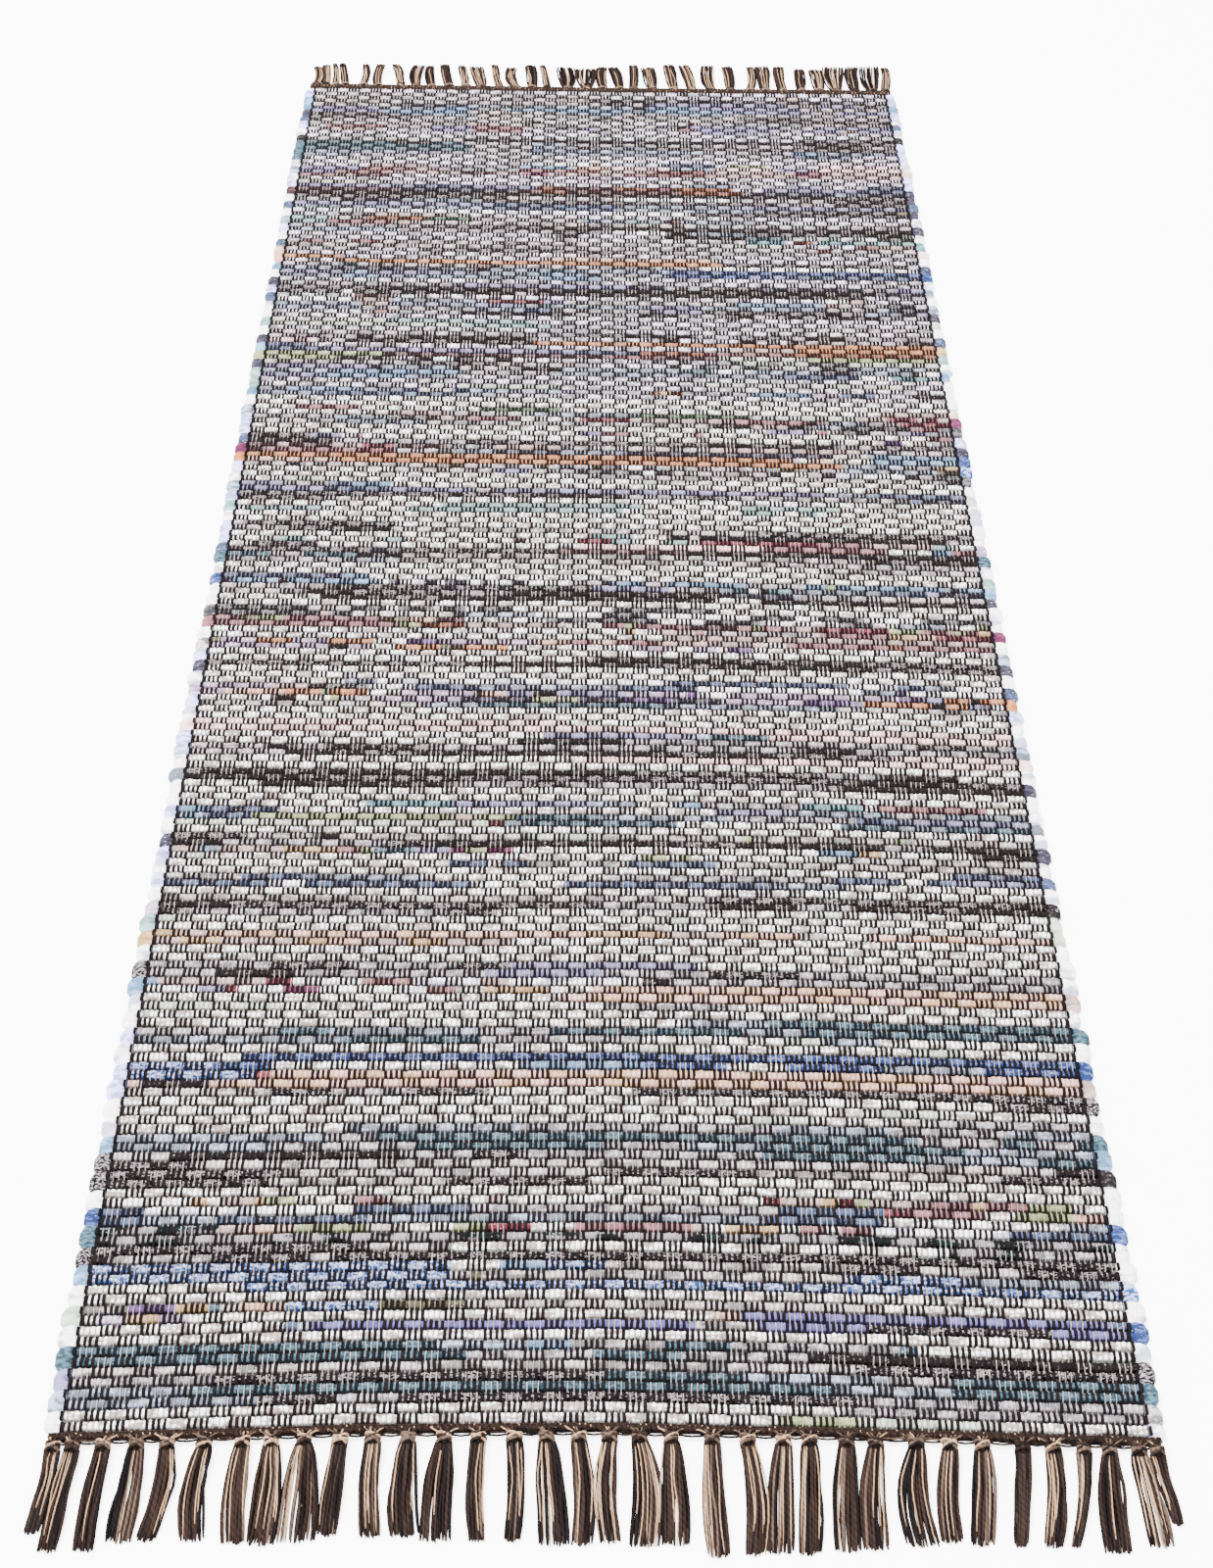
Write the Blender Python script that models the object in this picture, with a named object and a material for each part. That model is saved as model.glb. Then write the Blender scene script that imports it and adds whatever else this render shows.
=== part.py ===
"""Rag rug: a flat-woven runner lying on a floor, with a knotted warp fringe at both ends.

Metres, +Z up. The length runs along Y, from the near end at -Y to the far end at +Y, and the
width along X. The origin is on the floor under the middle of the rug.

The cloth is one solid. Each weft row is a rib across the width, and at both long sides the rows
turn back in pairs, as round selvage loops. Outside each end of the cloth lies a narrow heading
of yarn picks, and the warp ends leave it in overhand knots, each with a tassel of strands.
"""

import math

import bmesh
import bpy
import numpy as np

OBJECT_NAME = "rag_rug"

# The cloth
WARP_WIDTH = 0.680          # between the outermost warps
# Where the weft rows cross the centre line: some stretches are beaten closer than others
ROW_PLACES = (
    # row  along
    (0, -0.991),
    (29, -0.745),
    (53, -0.531),
    (78, -0.322),
    (112, -0.037),
    (136, 0.169),
    (160, 0.382),
    (184, 0.592),
    (192, 0.666),
    (200, 0.737),
    (216, 0.875),
    (225, 0.950),
    (230, 1.000),
)
ROW_COUNT = ROW_PLACES[-1][0]       # one rib each
CREST_HEIGHT = 0.0066       # top of a thick row
VALLEY_HEIGHT = 0.0042      # between two rows
CREST_VARIATION = 0.0009    # a thin row's crest is lower by this
ROW_WANDER = 0.0006         # a row's line strays from even spacing by about this

# The selvage loops, one for every two rows
LOOP_REACH = 0.0120         # beyond the outermost warp
LOOP_TOP = 0.0042           # height of a loop's round outer side
NOTCH_TOP = 0.0026          # height in the notch between two loops
LINES_PER_LOOP = 4          # valley, crest, valley, crest
LOOP_OUTLINE = (0.12, 0.84, 1.00, 0.84)     # share of the reach at each of those lines
FREE_END_SHARE = 0.55       # share of the reach where a rag strip starts or ends

# The heading and the fringe
SEAM_GAP = 0.0003           # between the cloth and the heading
HEADING_WIDTH = 0.0070
HEADING_HEIGHT = 0.0046
HEADING_SIDE = 0.3490       # half the heading's length
FIRST_STRAND_COUNT = 3      # strands of an ordinary tassel
WIDE_TASSEL = 0.0150        # a tassel that spreads more has one strand more
SLIM_TASSEL = 0.0080        # a tassel that spreads less has one strand less
STRAND_SHARE = 0.80         # of the spread is strands, and the rest is gaps
STRAND_HEIGHT = 0.0030
STRAND_STEPS = (0.35, 0.70, 1.00)
STRAND_BEND = 0.0006        # sideways bow at the middle steps
TIP_VARIATION = 0.0022      # how unevenly a tassel is cut

# Places across the width between which a row runs straight
LEFT_MID = -0.1530
RIGHT_MID = 0.1625
BOW_ACROSS = (-WARP_WIDTH / 2, LEFT_MID, RIGHT_MID, WARP_WIDTH / 2)
CLOTH_COLUMNS = (None, *BOW_ACROSS, None)   # None is the loops' outline
# How far a row strays along the length at those places: the rows bow with use
BOW = (
    # along   left     left_mid  right_mid  right
    (-1.00, -0.0085, -0.0015, -0.0045, -0.0110),
    (-0.55, 0.0010, -0.0005, -0.0020, -0.0085),
    (-0.10, 0.0035, 0.0005, -0.0050, -0.0115),
    (0.35, 0.0080, 0.0042, -0.0040, -0.0075),
    (1.00, 0.0090, 0.0045, -0.0025, -0.0050),
)

# A knot in sections outwards from the heading: distance, width, height
KNOT_SECTIONS = (
    # out     width   height
    (0.0015, 0.0104, 0.0076),
    (0.0052, 0.0104, 0.0076),
    (0.0078, 0.0062, 0.0046),
)
NECK_WIDTH = 0.0080         # of the warps that enter a knot

# The tassels from left to right: the knot's place, the tips' two sides, the tips' distance
# from the middle of the rug
NEAR_TASSELS = (
    # knot    left     right    reach
    (-0.3435, -0.3520, -0.3428, 1.071),
    (-0.3314, -0.3420, -0.3307, 1.084),
    (-0.3125, -0.3205, -0.3084, 1.084),
    (-0.2916, -0.3012, -0.2860, 1.077),
    (-0.2727, -0.2834, -0.2712, 1.076),
    (-0.2497, -0.2580, -0.2430, 1.076),
    (-0.2260, -0.2315, -0.2180, 1.078),
    (-0.2080, -0.2167, -0.1999, 1.079),
    (-0.1877, -0.1990, -0.1760, 1.077),
    (-0.1654, -0.1742, -0.1631, 1.072),
    (-0.1450, -0.1485, -0.1364, 1.074),
    (-0.1230, -0.1303, -0.1134, 1.073),
    (-0.1005, -0.1120, -0.0938, 1.076),
    (-0.0790, -0.0830, -0.0722, 1.076),
    (-0.0567, -0.0615, -0.0516, 1.076),
    (-0.0365, -0.0399, -0.0224, 1.080),
    (-0.0164, -0.0209, -0.0082, 1.079),
    (0.0027, -0.0040, 0.0095, 1.077),
    (0.0216, 0.0149, 0.0318, 1.080),
    (0.0412, 0.0327, 0.0506, 1.079),
    (0.0668, 0.0614, 0.0750, 1.088),
    (0.0890, 0.0843, 0.0962, 1.086),
    (0.1113, 0.0973, 0.1134, 1.085),
    (0.1275, 0.1153, 0.1302, 1.086),
    (0.1505, 0.1386, 0.1538, 1.084),
    (0.1687, 0.1558, 0.1707, 1.082),
    (0.1940, 0.1825, 0.2019, 1.080),
    (0.2148, 0.2028, 0.2162, 1.077),
    (0.2350, 0.2209, 0.2344, 1.079),
    (0.2600, 0.2466, 0.2554, 1.080),
    (0.2790, 0.2648, 0.2762, 1.080),
    (0.2980, 0.2808, 0.2872, 1.080),
    (0.3140, 0.3012, 0.3174, 1.085),
    (0.3322, 0.3282, 0.3434, 1.080),
    (0.3437, 0.3446, 0.3520, 1.064),
)
FAR_TASSELS = (
    # knot    left     right    reach
    (-0.3415, -0.3490, -0.3398, 1.079),
    (-0.3296, -0.3386, -0.3284, 1.084),
    (-0.3180, -0.3266, -0.3206, 1.087),
    (-0.3067, -0.3188, -0.3108, 1.088),
    (-0.2854, -0.2896, -0.2816, 1.086),
    (-0.2670, -0.2726, -0.2618, 1.086),
    (-0.2400, -0.2537, -0.2450, 1.086),
    (-0.2210, -0.2283, -0.2139, 1.084),
    (-0.2026, -0.2120, -0.2024, 1.082),
    (-0.1810, -0.1950, -0.1842, 1.086),
    (-0.1606, -0.1728, -0.1627, 1.083),
    (-0.1417, -0.1587, -0.1430, 1.081),
    (-0.1208, -0.1330, -0.1242, 1.086),
    (-0.1010, -0.1134, -0.1012, 1.078),
    (-0.0810, -0.0918, -0.0790, 1.085),
    (-0.0634, -0.0745, -0.0668, 1.085),
    (-0.0390, -0.0534, -0.0326, 1.080),
    (-0.0160, -0.0291, -0.0049, 1.076),
    (0.0040, -0.0030, 0.0086, 1.080),
    (0.0230, 0.0095, 0.0209, 1.080),
    (0.0400, 0.0351, 0.0459, 1.086),
    (0.0628, 0.0500, 0.0648, 1.080),
    (0.0884, 0.0766, 0.0898, 1.088),
    (0.1100, 0.0958, 0.1080, 1.087),
    (0.1336, 0.1242, 0.1390, 1.086),
    (0.1560, 0.1478, 0.1607, 1.083),
    (0.1798, 0.1778, 0.1880, 1.082),
    (0.1980, 0.1892, 0.2047, 1.084),
    (0.2196, 0.2112, 0.2234, 1.083),
    (0.2410, 0.2360, 0.2486, 1.076),
    (0.2628, 0.2540, 0.2689, 1.075),
    (0.2837, 0.2722, 0.2960, 1.084),
    (0.3060, 0.2993, 0.3147, 1.083),
    (0.3270, 0.3182, 0.3403, 1.085),
    (0.3415, 0.3424, 0.3520, 1.081),
)

CLOTH_COLOUR = (0.55, 0.53, 0.52)
YARN_COLOUR = (0.12, 0.08, 0.06)
SHARP_ANGLE = math.radians(50)
LEVEL_TOLERANCE = 1e-6      # an edge's two ends this close in height lie level


# ---------------------------------------------------------------- where the rows lie

def bow(across, along):
    """How far a row that crosses the centre line at along strays from it at across."""
    stations, *columns = zip(*BOW)
    shifts = [np.interp(along, stations, column) for column in columns]
    return float(np.interp(across, BOW_ACROSS, shifts))


def line_along(line):
    """Where row line number line crosses the centre line. Even lines are valleys."""
    rows, places = zip(*ROW_PLACES)
    place = float(np.interp(line / 2.0, rows, places))
    wander = ROW_WANDER * (0.6 * math.sin(2.1 * line) + 0.4 * math.sin(0.83 * line + 1.0))
    held = min(1.0, line, 2 * ROW_COUNT - line)
    return place + wander * held


def line_height(line):
    """The cloth's top at row line number line."""
    if line % 2 == 0:
        return VALLEY_HEIGHT
    return CREST_HEIGHT - CREST_VARIATION * (0.5 + 0.5 * math.sin(3.7 * line))


def loop_share(line, side):
    """Share of LOOP_REACH at a row line. The right side's loops lie one row on."""
    if line in (0, 2 * ROW_COUNT) and side > 0:
        return FREE_END_SHARE
    phase = (line + (2 if side > 0 else 0)) % LINES_PER_LOOP
    return LOOP_OUTLINE[phase]


# ---------------------------------------------------------------- shared making

def new_material(name, colour, roughness):
    material = bpy.data.materials.new(name)
    material.use_nodes = True
    shader = material.node_tree.nodes["Principled BSDF"]
    shader.inputs["Base Color"].default_value = (*colour, 1.0)
    shader.inputs["Roughness"].default_value = roughness
    shader.inputs["Metallic"].default_value = 0.0
    return material


def new_slab(columns, rows):
    """A closed slab of cells, with its lower and upper corners by column and row number."""
    bm = bmesh.new()
    bmesh.ops.create_grid(bm, x_segments=columns, y_segments=rows, size=1.0)

    def number(vert):
        return round((vert.co.x + 1.0) / 2.0 * columns), round((vert.co.y + 1.0) / 2.0 * rows)

    lower = {number(vert): vert for vert in bm.verts}
    raised = bmesh.ops.extrude_face_region(bm, geom=bm.faces[:])["geom"]
    upper = {number(vert): vert for vert in raised if isinstance(vert, bmesh.types.BMVert)}
    return bm, lower, upper


def finish_object(name, bm, material, collection):
    """Turn an edited mesh into a named object with outward faces and soft shading."""
    bmesh.ops.recalc_face_normals(bm, faces=bm.faces)
    mesh = bpy.data.meshes.new(name)
    bm.to_mesh(mesh)
    bm.free()
    mesh.materials.append(material)
    mesh.shade_smooth()
    mesh.set_sharp_from_angle(angle=SHARP_ANGLE)
    obj = bpy.data.objects.new(name, mesh)
    collection.objects.link(obj)
    return obj


# ---------------------------------------------------------------- the cloth

def cloth_corner(column, line):
    """Where a row line meets a column: across, along and the top's height."""
    along = line_along(line)
    across = CLOTH_COLUMNS[column]
    if across is not None:
        return across, along + bow(across, along), line_height(line)
    side = -1 if column == 0 else 1
    share = loop_share(line, side)
    across = side * (WARP_WIDTH / 2 + LOOP_REACH * share)
    outward = (share - LOOP_OUTLINE[0]) / (1.0 - LOOP_OUTLINE[0])
    return across, along + bow(across, along), NOTCH_TOP + (LOOP_TOP - NOTCH_TOP) * outward


def build_cloth(collection):
    """A slab with a line for each crest and valley, flat where it lies on the floor."""
    strips = len(CLOTH_COLUMNS) - 1
    lines = 2 * ROW_COUNT
    bm, lower, upper = new_slab(strips, lines)
    for column, line in lower:
        across, along, top = cloth_corner(column, line)
        lower[column, line].co = (across, along, 0.0)
        upper[column, line].co = (across, along, top)

    # The flat underside needs no inner columns
    inner = []
    for column in range(1, strips):
        for line in range(lines):
            inner.append(bm.edges.get((lower[column, line], lower[column, line + 1])))
    bmesh.ops.dissolve_edges(bm, edges=inner, use_verts=True)
    return finish_object("woven_field", bm, new_material("rag_weave", CLOTH_COLOUR, 0.9), collection)


# ---------------------------------------------------------------- headings and fringes

def move_face(face, across, along, width, height):
    """Put a face's corners on an upright section that stands on the floor."""
    middle = face.calc_center_median()
    for vert in face.verts:
        side = math.copysign(0.5, vert.co.x - middle.x)
        level = height if vert.co.z > middle.z else 0.0
        vert.co = (across + side * width, along, level)


def extrude_face(bm, face):
    return bmesh.ops.extrude_discrete_faces(bm, faces=[face])["faces"][0]


def split_face(bm, face, count):
    """Divide an upright four-sided face into count faces, from left to right."""
    level_edges = []
    for edge in face.edges:
        low, high = sorted(vert.co.z for vert in edge.verts)
        if high - low < LEVEL_TOLERANCE:
            level_edges.append(edge)
    cut = bmesh.ops.subdivide_edges(bm, edges=level_edges, cuts=count - 1)
    upright = [item for item in cut["geom_inner"] if isinstance(item, bmesh.types.BMEdge)]
    faces = {part for edge in upright for part in edge.link_faces}
    return sorted(faces, key=lambda part: part.calc_center_median().x)


def add_tassel(bm, face, tassel, outward, number):
    """Grow a knot from the heading's face, and the strands from the knot."""
    knot, left, right, reach = tassel
    start = face.calc_center_median().y
    for out, width, height in KNOT_SECTIONS:
        face = extrude_face(bm, face)
        along = start + outward * out
        move_face(face, knot, along, width, height)
    root_width = KNOT_SECTIONS[-1][1]
    spread = right - left
    count = FIRST_STRAND_COUNT + (spread > WIDE_TASSEL) - (spread < SLIM_TASSEL)
    tip_width = spread / count * STRAND_SHARE
    bend = STRAND_BEND * math.sin(2.3 * number)
    for strand, section in enumerate(split_face(bm, face, count)):
        root_across = section.calc_center_median().x
        tip_across = left + spread * (strand + 0.5) / count
        shorter = TIP_VARIATION * (0.5 + 0.5 * math.sin(5.1 * number + 2.7 * strand))
        if strand == count // 2:
            shorter = 0.0
        tip = outward * (reach - shorter)
        for share in STRAND_STEPS:
            section = extrude_face(bm, section)
            across = root_across + (tip_across - root_across) * share + bend * math.sin(math.pi * share)
            width = root_width / count + (tip_width - root_width / count) * share
            move_face(section, across, along + (tip - along) * share, width, STRAND_HEIGHT)


def build_fringe(name, tassels, outward, material, collection):
    """A heading along one end of the cloth, with a tassel from each knot."""
    end = line_along(2 * ROW_COUNT if outward > 0 else 0)
    stations = [-HEADING_SIDE, LEFT_MID, RIGHT_MID, HEADING_SIDE]
    for knot, *_ in tassels:
        stations += [knot - NECK_WIDTH / 2, knot + NECK_WIDTH / 2]
    stations.sort()

    bm, lower, upper = new_slab(len(stations) - 1, 1)
    outer = 1 if outward > 0 else 0
    for column, row in lower:
        across = stations[column]
        beyond = SEAM_GAP + (HEADING_WIDTH if row == outer else 0.0)
        along = end + bow(across, end) + outward * beyond
        lower[column, row].co = (across, along, 0.0)
        upper[column, row].co = (across, along, HEADING_HEIGHT)

    knot_faces = []
    for knot, *_ in tassels:
        left = stations.index(knot - NECK_WIDTH / 2)
        corners = [lower[left, outer], lower[left + 1, outer], upper[left + 1, outer], upper[left, outer]]
        knot_faces.append(bm.faces.get(corners))
    for number, face in enumerate(knot_faces):
        add_tassel(bm, face, tassels[number], outward, number)
    return finish_object(name, bm, material, collection)


def main():
    for obj in list(bpy.data.objects):
        bpy.data.objects.remove(obj, do_unlink=True)
    collection = bpy.data.collections.new(OBJECT_NAME)
    bpy.context.scene.collection.children.link(collection)
    build_cloth(collection)
    yarn = new_material("warp_yarn", YARN_COLOUR, 0.85)
    build_fringe("fringe_near", NEAR_TASSELS, -1, yarn, collection)
    build_fringe("fringe_far", FAR_TASSELS, 1, yarn, collection)


main()
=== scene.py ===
"""Looks of a rag rug: a flat-woven runner of mixed rags with a knotted yarn fringe at both ends.

Metres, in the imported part's frame: +Y runs along the rug to the far fringe, +X across it and +Z
up from the floor. Rags are woven in as weft rows, and turn back at the selvages in round loops.
Dark and light warp ends take turns on top, block by block, in a log cabin weave.
"""

import math

import bmesh
import bpy
import numpy as np
from mathutils import Euler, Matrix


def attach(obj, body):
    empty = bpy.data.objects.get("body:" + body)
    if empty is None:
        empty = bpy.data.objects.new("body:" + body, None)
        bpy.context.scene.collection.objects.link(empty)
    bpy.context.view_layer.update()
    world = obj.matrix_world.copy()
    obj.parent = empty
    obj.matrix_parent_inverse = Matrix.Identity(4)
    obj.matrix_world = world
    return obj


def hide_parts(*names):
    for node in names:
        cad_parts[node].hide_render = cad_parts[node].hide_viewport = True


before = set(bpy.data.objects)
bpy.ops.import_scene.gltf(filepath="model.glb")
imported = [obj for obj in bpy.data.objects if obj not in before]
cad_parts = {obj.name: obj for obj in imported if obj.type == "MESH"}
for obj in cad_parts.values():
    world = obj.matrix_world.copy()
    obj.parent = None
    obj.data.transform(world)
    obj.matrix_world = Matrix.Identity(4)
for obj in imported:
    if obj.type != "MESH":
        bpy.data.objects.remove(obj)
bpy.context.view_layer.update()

MM = 0.001
CM = 0.01

# ---------------------------------------------------------------- the cloth's sizes, as in the part
WARP_WIDTH = 0.680
ROW_PLACES = (
    # rows from the near end, and where their line crosses the middle
    (0, -0.991),
    (29, -0.745),
    (53, -0.531),
    (78, -0.322),
    (112, -0.037),
    (136, 0.169),
    (160, 0.382),
    (184, 0.592),
    (192, 0.666),
    (200, 0.737),
    (216, 0.875),
    (225, 0.950),
    (230, 1.000),
)
ROW_COUNT = ROW_PLACES[-1][0]
ROW_WANDER = 0.0006         # how far the row lines stray along the rug
LOOP_REACH = 0.0120         # of a selvage loop beyond the outermost warp
BOW_ACROSS = (-0.340, -0.153, 0.000, 0.1625, 0.340)     # the columns of the table below
BOW = (
    # how far a row strays along the rug, by where it crosses the middle and by place across
    # along   left     left_mid  middle   right_mid  right
    (-1.00, -0.0085, -0.0015, 0.0, -0.0045, -0.0110),
    (-0.55, 0.0010, -0.0005, 0.0, -0.0020, -0.0085),
    (-0.10, 0.0035, 0.0005, 0.0, -0.0050, -0.0115),
    (0.35, 0.0080, 0.0042, 0.0, -0.0040, -0.0075),
    (1.00, 0.0090, 0.0045, 0.0, -0.0025, -0.0050),
)
SEAM_GAP = 0.0003           # between the cloth and a heading
HEADING_WIDTH = 0.0070      # of a heading, along the rug

# ---------------------------------------------------------------- the weave
BLOCK_COUNT = 52            # blocks of warp ends across the width
ENDS_PER_BLOCK = 7          # dark, light, dark, light, dark, light, dark
END_COUNT = BLOCK_COUNT * ENDS_PER_BLOCK
END_PITCH = WARP_WIDTH / END_COUNT
SECTION_COUNT = 8           # lengths of cloth that the meshes are divided into

CREST = 0.0063              # top of a full rag between two warps
VALLEY = 0.0016             # where two rows meet
OVERLAP = 0.00025           # a row reaches this far past the line where it meets the next
SHOULDER = 0.28             # share of a row's width from its middle to the shoulder of its arch
PRESSED = 0.76              # height of the rag under a dark warp, as a share of the crest
LIGHT_PRESSED = 0.82        # the same under a light warp
BLOCK_BULGE = 0.12          # how far a block of plain rag bulges sideways, in warp ends
BLOCK_SIDE = 0.95           # height at its sides, as a share of the crest
BULK_WAVES = (0.11, 0.31)   # lengths over which a rag grows fuller and thinner
BULK_CHANGE = 0.07          # as a share of its bulk
BULK_BLEND = 9              # warp ends over which one rag's bulk gives way to the next's
STRAY_WAVES = (0.09, 0.23)  # lengths over which a row strays along the rug
STRAY = 0.00030             # and how far
ROUGHNESS = 0.00016         # of the line between two rows, from warp end to warp end
FULLNESS = (0.62, 0.38)     # of a crest's height: fixed, and in step with the rag's bulk
LUMPS = (0.93, 1.03)        # least and greatest height of a lump against its row
LUMP_LEAN = 0.00022         # how much higher one shoulder is than the middle
DARK_HALF_WIDTH = 0.00106   # of a dark warp at the near end
FAR_WIDER = 1.28            # its width at the far end against that at the near end
DARK_TOP = 0.97             # height of a dark warp, as a share of the crest
LIGHT_HALF_WIDTH = 0.00036
LIGHT_TOP = 0.93            # the same of a light warp
WARP_WIDTHS = (0.85, 1.15)  # least and greatest width against the usual
WARP_STRAY = 0.00014        # across the rug
WARP_SLANT = 0.00045
WARP_RISE = 0.00015         # unevenness of its top
WARP_FOOT = VALLEY - 0.0004     # height where it dips between two rows
BAR_STEPS = (-0.60, -0.28, 0.28, 0.60)      # along a warp's arch, in widths of its row

# ---------------------------------------------------------------- yarns, rags and their order
YARNS = (
    # name     colour           second colour, both sRGB from 0 to 255
    ("dark", (42, 34, 36), (62, 51, 52)),
    ("light", (200, 194, 191), (214, 209, 206)),
    ("beige", (206, 189, 166), (220, 207, 189)),
    ("taupe", (134, 114, 102), (172, 152, 136)),
    ("brown", (75, 57, 51), (103, 82, 73)),
)
DARK, LIGHT, BEIGE, TAUPE, BROWN = range(len(YARNS))

# The rags. Colours are sRGB, from 0 to 255. Spots are the second colour's share and length in mm,
# flecks the share of fine white threads, and body the bulk of the rag against an ordinary one.
CLOTHS = (
    # name        colour           second colour    spots  length flecks body
    ("white", (239, 239, 243), (222, 222, 228), 0.35, 30, 0.00, 1.10),
    ("cream", (241, 240, 238), (214, 209, 206), 0.44, 9, 0.00, 1.10),
    ("chalk", (235, 233, 236), (197, 195, 199), 0.45, 12, 0.00, 1.05),
    ("ecru", (226, 223, 224), (184, 181, 182), 0.40, 18, 0.05, 1.00),
    ("grey", (222, 219, 222), (184, 182, 186), 0.45, 12, 0.08, 0.98),
    ("slate", (174, 182, 193), (214, 219, 227), 0.40, 15, 0.06, 0.98),
    ("lavender", (202, 199, 218), (178, 175, 202), 0.40, 20, 0.04, 1.00),
    ("mist", (228, 228, 238), (210, 211, 226), 0.40, 14, 0.00, 1.05),
    ("iris", (180, 175, 212), (158, 152, 198), 0.40, 12, 0.00, 1.00),
    ("speckle", (50, 45, 49), (213, 209, 211), 0.36, 2.2, 0.00, 0.90),
    ("black", (76, 70, 74), (122, 116, 119), 0.30, 5, 0.05, 0.85),
    ("charcoal", (118, 118, 124), (178, 180, 186), 0.30, 8, 0.06, 0.90),
    ("teal", (146, 176, 188), (98, 126, 140), 0.46, 5, 0.02, 0.95),
    ("pine", (206, 203, 206), (42, 66, 68), 0.48, 28, 0.02, 1.00),
    ("sky", (162, 193, 211), (197, 214, 226), 0.40, 15, 0.04, 1.00),
    ("skyprint", (216, 221, 232), (92, 138, 194), 0.48, 5, 0.00, 1.00),
    ("denim", (140, 156, 186), (112, 124, 156), 0.40, 12, 0.06, 1.00),
    ("royal", (84, 110, 170), (154, 171, 208), 0.40, 6, 0.04, 1.00),
    ("navy", (104, 101, 124), (138, 134, 154), 0.40, 8, 0.05, 0.90),
    ("violet", (164, 134, 184), (138, 106, 162), 0.40, 12, 0.00, 1.00),
    ("lilac", (208, 196, 212), (226, 220, 228), 0.45, 14, 0.00, 1.00),
    ("pink", (223, 214, 212), (209, 198, 196), 0.40, 16, 0.00, 1.05),
    ("blush", (236, 229, 229), (228, 218, 218), 0.40, 30, 0.00, 1.08),
    ("rose", (202, 168, 172), (188, 146, 152), 0.40, 12, 0.03, 1.00),
    ("crimson", (168, 92, 110), (192, 128, 141), 0.40, 10, 0.03, 0.95),
    ("magenta", (160, 86, 134), (186, 126, 162), 0.40, 12, 0.00, 1.00),
    ("maroon", (126, 90, 99), (160, 130, 136), 0.35, 9, 0.04, 0.92),
    ("rust", (190, 134, 99), (158, 106, 86), 0.40, 10, 0.03, 0.95),
    ("peach", (229, 215, 206), (228, 218, 211), 0.40, 16, 0.00, 1.00),
    ("orange", (214, 176, 130), (224, 197, 160), 0.40, 18, 0.00, 1.00),
    ("gold", (216, 200, 164), (226, 215, 192), 0.40, 12, 0.00, 1.00),
    ("olive", (154, 149, 122), (128, 123, 100), 0.40, 10, 0.04, 0.95),
    ("lime", (194, 202, 168), (215, 218, 197), 0.40, 14, 0.00, 1.00),
    ("mint", (190, 209, 208), (208, 221, 221), 0.40, 16, 0.00, 1.00),
    ("sage", (219, 222, 218), (227, 229, 225), 0.40, 25, 0.00, 1.05),
    ("turquoise", (150, 192, 198), (182, 212, 216), 0.40, 12, 0.03, 1.00),
    ("green", (108, 147, 116), (136, 164, 140), 0.40, 10, 0.04, 0.95),
    ("pastel", (231, 218, 214), (226, 212, 190), 0.45, 20, 0.00, 1.05),
)

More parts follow.
